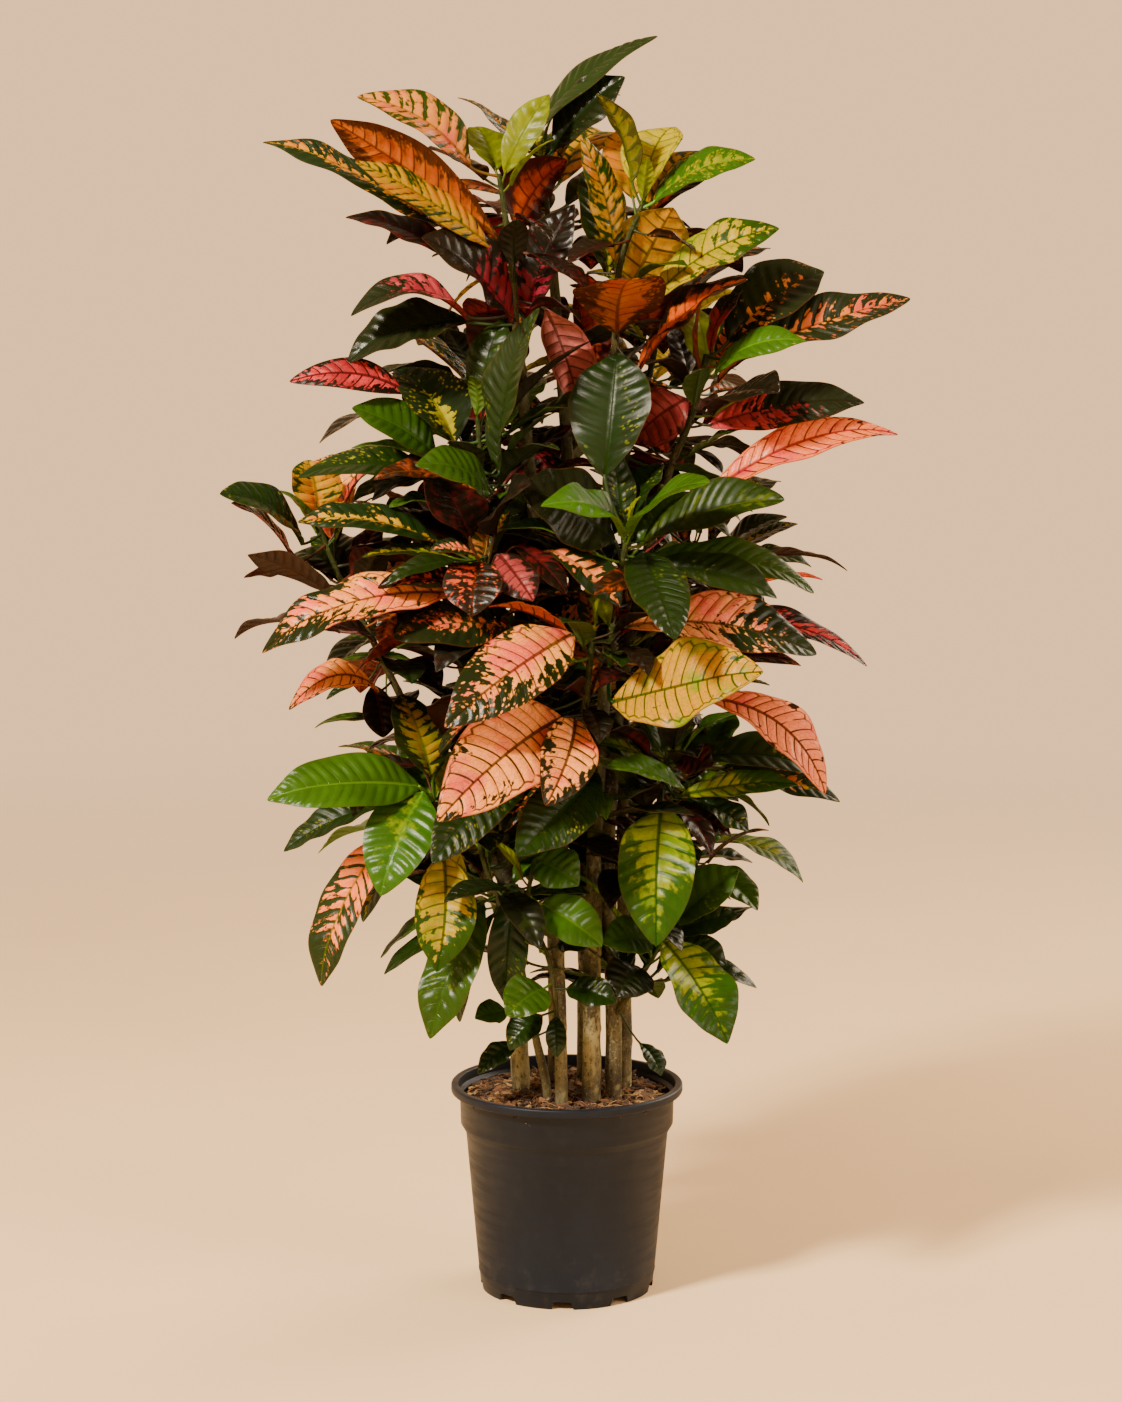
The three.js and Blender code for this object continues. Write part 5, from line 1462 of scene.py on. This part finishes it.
def paintTraits(count, leaf):
    # colours and pattern strengths for each point of a leaf, slightly different on each leaf
    paint = paints[leaf["paint"]]
    draws = random.Random(int(leaf["seed"] * 1000))
    lift = draws.uniform(0.9, 1.22)

    def tinted(key, strength):
        shade = [min(1.0, c ** 1.2 * lift * draws.uniform(0.93, 1.07)) for c in colour(paint[key])]
        return np.tile((*shade, strength), (count, 1))

    amount = paint["amount"] and min(1, max(0, paint["amount"] + draws.uniform(-0.1, 0.1)))
    strengths = (amount, *[paint[name] for name in strengthNames[1:]])
    traits = {name + "Paint": tinted(name, strength) for name, strength in zip(paintNames, strengths)}
    traits["gather"] = np.tile((paint["along"], paint["across"], paint["blocks"]), (count, 1))
    return traits, paint["glow"]


def bladePart(leaf, calm):
    template = blades[leaf["size"]]
    unit = pointsOf(template)
    v, s, sheet = unit.T
    points = bladePoints(leaf, s, v, sheet, calm)
    traits, glow = paintTraits(len(unit), leaf)
    length = (leaf["tip"] - leaf["base"]).length
    half = halfWidth(s, leaf)
    traits["bladePlace"] = np.stack([s, v, sheet], 1)
    traits["bladeReach"] = np.stack([v * half, s * length, np.full(len(s), leaf["seed"])], 1)
    traits["build"] = np.tile((leaf["pairs"], glow, leaf["gloss"]), (len(s), 1))
    return template, points * mm, traits


def stalkPart(leaf):
    line = stalkLine(leaf, 10)
    thick = 0.75 + 0.011 * min(90, leaf["width"])

    def radiusAt(share, angle):
        foot = 0.5 * np.exp(-(share / 0.09) ** 2)
        neck = 0.22 * np.exp(-((share - 0.93) / 0.08) ** 2)
        return thick * (1.05 + foot + neck)

    points, _, _ = alongTube(stalkTube, line, radiusAt)
    traits, _ = paintTraits(len(points), leaf)
    return stalkTube, points * mm, traits


def testMesh(leaf, calm):
    # a coarse, thicker blade and stalk, to find leaves that would cross
    corners = []
    faces = []
    v, s, sheet = pointsOf(testBlade).T
    stalk, _, _ = alongTube(testTube, stalkLine(leaf, 16)[4:13:2], lambda share, angle: 2.2 + 0 * share)
    for template, points in ((testBlade, bladePoints(leaf, s, v, sheet, calm)), (testTube, stalk)):
        offset = len(corners)
        corners.extend(points.tolist())
        faces.extend([offset + i for i in face.vertices] for face in template.polygons)
    return BVHTree.FromPolygons(corners, faces), np.min(corners, axis=0), np.max(corners, axis=0)


placedTests = []


def crossings(candidate):
    tree, low, high = candidate
    count = 0
    for other, otherLow, otherHigh in placedTests:
        if np.all(low < otherHigh) and np.all(otherLow < high):
            count += len(tree.overlap(other))
    return count


# Changes of form that a leaf may try, least first: (calm, turn, slim), where calm 0 is a blade without folds
leafForms = (
    (1, 0, 1), (0.6, 0, 1), (0.6, 7, 1), (0.6, -7, 1), (0.3, 0, 1), (0.3, 12, 0.97), (0.3, -12, 0.97),
    (0, 0, 0.94), (0, 16, 0.94), (0, -16, 0.94), (0, 8, 0.9), (0, -8, 0.9),
)


def settledLeaf(leaf):
    # the least change that keeps clear of the leaves already there, or else the one that crosses least
    tries = []
    for calm, turn, slim in leafForms:
        chord, along, face = leafFrame(leaf)
        tried = {**leaf, "width": leaf["width"] * slim, "face": Quaternion(along, math.radians(turn)) @ face}
        candidate = testMesh(tried, calm)
        count = crossings(candidate)
        tries.append((count, calm, tried, candidate))
        if count == 0:
            break
    count, calm, tried, candidate = min(tries, key=lambda one: one[0])
    placedTests.append(candidate)
    return calm, tried, count


# The green stems: leaf scars close together, and little ribbing
stemSpec = {"scarEvery": 9, "scarRise": 0.13, "ribs": 0.02, "knots": 0.06}


def stemPart(stem):
    line, length = smoothPath(stem["path"], stemRings)
    foot, top = stem["radius"]
    key = len(stem["name"]) * 1.3
    radiusAt = scarred(length, foot, top, key, stemSpec)
    points, share, angle = alongTube(stemTube, line, radiusAt)
    return stemTube, points * mm, stemTraits(length, share, angle, (0.45, 1.0))


# Small inner leaves that close the crown up round the canes, where there is room for them
innerSpec = {
    "seed": 407, "firstOrder": 5000, "tries": 6500, "most": 430, "length": (62, 124), "ratio": (0.38, 0.52),
    "lift": (-30, 48), "stalk": (0.16, 0.34), "reach": 225, "low": 430, "high": 1120,
    # how far forward they may reach, so that they stay behind the front's own leaves
    "frontTurn": 740, "lowFront": -165, "highFront": -84,
    # real croton colours, mostly dark ones, chosen so that the crown's inside reads dark: partly painted
    # shade, on top of the shade these leaves cast
    "paints": ("darkGreen", "maroon", "oliveBlack", "blackBrown", "greyGreen", "darkGloss", "darkGreen",
               "oliveBlack", "green", "crimsonUnder", "darkEmber", "blackPink"),
}


def smallLeaf(root, along, stalk, length, width, arch, turn, paint):
    return {"root": root, "base": root + along * stalk, "tip": root + along * (stalk + length),
            "width": width, "arch": arch, "paint": paint, "face": faceOf(along, turn)}


def innerLeaves():
    draws = random.Random(innerSpec["seed"])
    spots = []
    for stem in stems:
        spots += [(stem["name"], alongPath(stem["line"], draws.uniform(0.2, 0.95))) for _ in range(60)]
    for number, limbs in enumerate(caneSpec["canes"], 1):
        for _, _, places in limbs:
            line = [Vector(place) for place in places]
            spots += [(f"cane_{number}", alongPath(line, draws.uniform(0.1, 0.98))) for _ in range(70)]
    spots = [spot for spot in spots if innerSpec["low"] < spot[1].z < innerSpec["high"]]
    made = {}
    count = 0
    for _ in range(innerSpec["tries"]):
        owner, root = draws.choice(spots)
        length = draws.uniform(*innerSpec["length"])
        azimuth = draws.uniform(0, math.tau)
        lift = math.radians(draws.uniform(*innerSpec["lift"]))
        stalk = draws.uniform(*innerSpec["stalk"]) * length + 8
        turn = 40 * (draws.random() - 0.5)
        paint = draws.choice(innerSpec["paints"])
        width = length * draws.uniform(*innerSpec["ratio"])
        arch = length * draws.uniform(0.04, 0.14)
        leaf = smallLeaf(root, heading(azimuth, lift), stalk, length, width, arch, turn, paint)
        leaf["wave"] = draws.uniform(0.03, 0.1)
        candidate = testMesh(dressed(leaf, innerSpec["firstOrder"] + count), 1.0)
        nearest = innerSpec["lowFront"] if leaf["tip"].z < innerSpec["frontTurn"] else innerSpec["highFront"]
        if math.hypot(leaf["tip"].x, leaf["tip"].y) > innerSpec["reach"] or leaf["tip"].y < nearest:
            continue
        if leaf["tip"].z > innerSpec["high"] or crossings(candidate):
            continue
        placedTests.append(candidate)
        made.setdefault(owner, []).append(leaf)
        count += 1
        if count == innerSpec["most"]:
            break
    print("inner leaves:", count)
    return made


# Young leaves round each growing tip, and more leaves down the stem where there is room for them
tuftSpec = {
    "seed": 88, "firstOrder": 9000, "count": 7, "length": (26, 72), "lift": (30, 74), "ratio": (0.3, 0.42),
    "paints": {
        "foliage_dark": ("darkPink", "green", "greyGold"),
        "foliage_green": ("lime", "brightGreen", "green"),
        "foliage_gold": ("gold", "lime", "flame"),
        "foliage_red": ("pinkMottle", "lime", "flame"),
    },
}
headSpec = {
    "seed": 61, "firstOrder": 12000, "tries": 70, "most": 11, "share": (0.3, 0.98), "length": (70, 128),
    "lift": (-8, 72), "ratio": (0.4, 0.52), "front": -34,
}
# how far inside the solids' box the tips of the small leaves stay
boxMargin = 6


def budLeaf(root, along, length, stalk, ratio, draws, paint):
    width = length * draws.uniform(*ratio)
    arch = length * draws.uniform(0.03, 0.12)
    turn = 40 * (draws.random() - 0.5)
    leaf = smallLeaf(root, along, stalk, length, width, arch, turn, paint)
    leaf["wave"] = draws.uniform(0.02, 0.08)
    return leaf


def fits(leaf, order):
    for place, low, high in zip(leaf["tip"], *cadBox):
        if not low / mm + boxMargin < place < high / mm - boxMargin:
            return False
    candidate = testMesh(dressed(leaf, order), 1.0)
    if crossings(candidate):
        return False
    placedTests.append(candidate)
    return True


def youngLeaves(stem, slot):
    draws = random.Random(tuftSpec["seed"] + len(stem["name"]) * 31 + int(stem["path"][0][0]))
    made = []
    low, high = tuftSpec["lift"]
    small, large = tuftSpec["length"]
    for i in range(tuftSpec["count"]):
        root = alongPath(stem["line"], 1 - 0.16 * i / tuftSpec["count"])
        lift = math.radians(high - (high - low) * i / tuftSpec["count"])
        length = small + (large - small) * (i + 1) / tuftSpec["count"]
        along = heading(i * goldenAngle + draws.uniform(-0.3, 0.3), lift)
        paint = draws.choice(tuftSpec["paints"][slot])
        leaf = budLeaf(root, along, length, 5 + 0.12 * length, tuftSpec["ratio"], draws, paint)
        if fits(leaf, tuftSpec["firstOrder"] + i * 17 + len(stem["name"])):
            made.append(leaf)
    return made


def headLeaves(stem):
    draws = random.Random(headSpec["seed"] + len(stem["name"]) * 17 + int(stem["path"][0][2]))
    choices = [row[-1] for row in stem["leaves"]] + list(stem["farPaints"])
    made = []
    for i in range(headSpec["tries"]):
        share = draws.uniform(*headSpec["share"])
        lift = math.radians(draws.uniform(*headSpec["lift"]) * share)
        length = draws.uniform(*headSpec["length"])
        root = alongPath(stem["line"], share)
        along = heading(draws.uniform(0, math.tau), lift)
        paint = draws.choice(choices)
        leaf = budLeaf(root, along, length, 8 + 0.2 * length, headSpec["ratio"], draws, paint)
        clear = leaf["tip"].y > root.y + headSpec["front"]
        if clear and fits(leaf, headSpec["firstOrder"] + i * 13 + len(stem["name"])):
            made.append(leaf)
        if len(made) == headSpec["most"]:
            break
    return made


def buildLeaves():
    # in the order of the templates' material numbers
    materials = [leafBlade(), leafStalk(), stemSkin()]
    found = placedLeaves()
    order = 0
    crossed = 0
    slots = {item["node"]: item["material_slot"] for item in frame["record"]["subparts"]}
    parts = {stem["name"]: [stemPart(stem)] for stem in stems}
    for stem in stems:
        for leaf in found[stem["name"]]:
            order += 1
            calm, settled, count = settledLeaf(dressed(leaf, order))
            crossed += count > 0
            parts[stem["name"]] += [bladePart(settled, calm), stalkPart(settled)]
    added = 0
    for stem in stems:
        for leaf in youngLeaves(stem, slots["leafy_stem_" + stem["name"]]) + headLeaves(stem):
            parts[stem["name"]] += [bladePart(leaf, 1.0), stalkPart(leaf)]
            added += 1
    print("young leaves:", added)
    for owner, leaves in innerLeaves().items():
        for leaf in leaves:
            parts.setdefault(owner, []).extend([bladePart(leaf, 1.0), stalkPart(leaf)])
    for owner, some in parts.items():
        if owner.startswith("cane_"):
            seat(assemble(owner + "_leaves", some, materials, traitSizes), "foliage_dark")
    for stem in stems:
        node = "leafy_stem_" + stem["name"]
        piece = assemble(stem["name"] + "_stem", parts[stem["name"]], materials, traitSizes)
        seat(piece, slots[node], node)
    print("leaves made:", order, "still crossing:", crossed)


buildLeaves()
print("leafy stems ready")
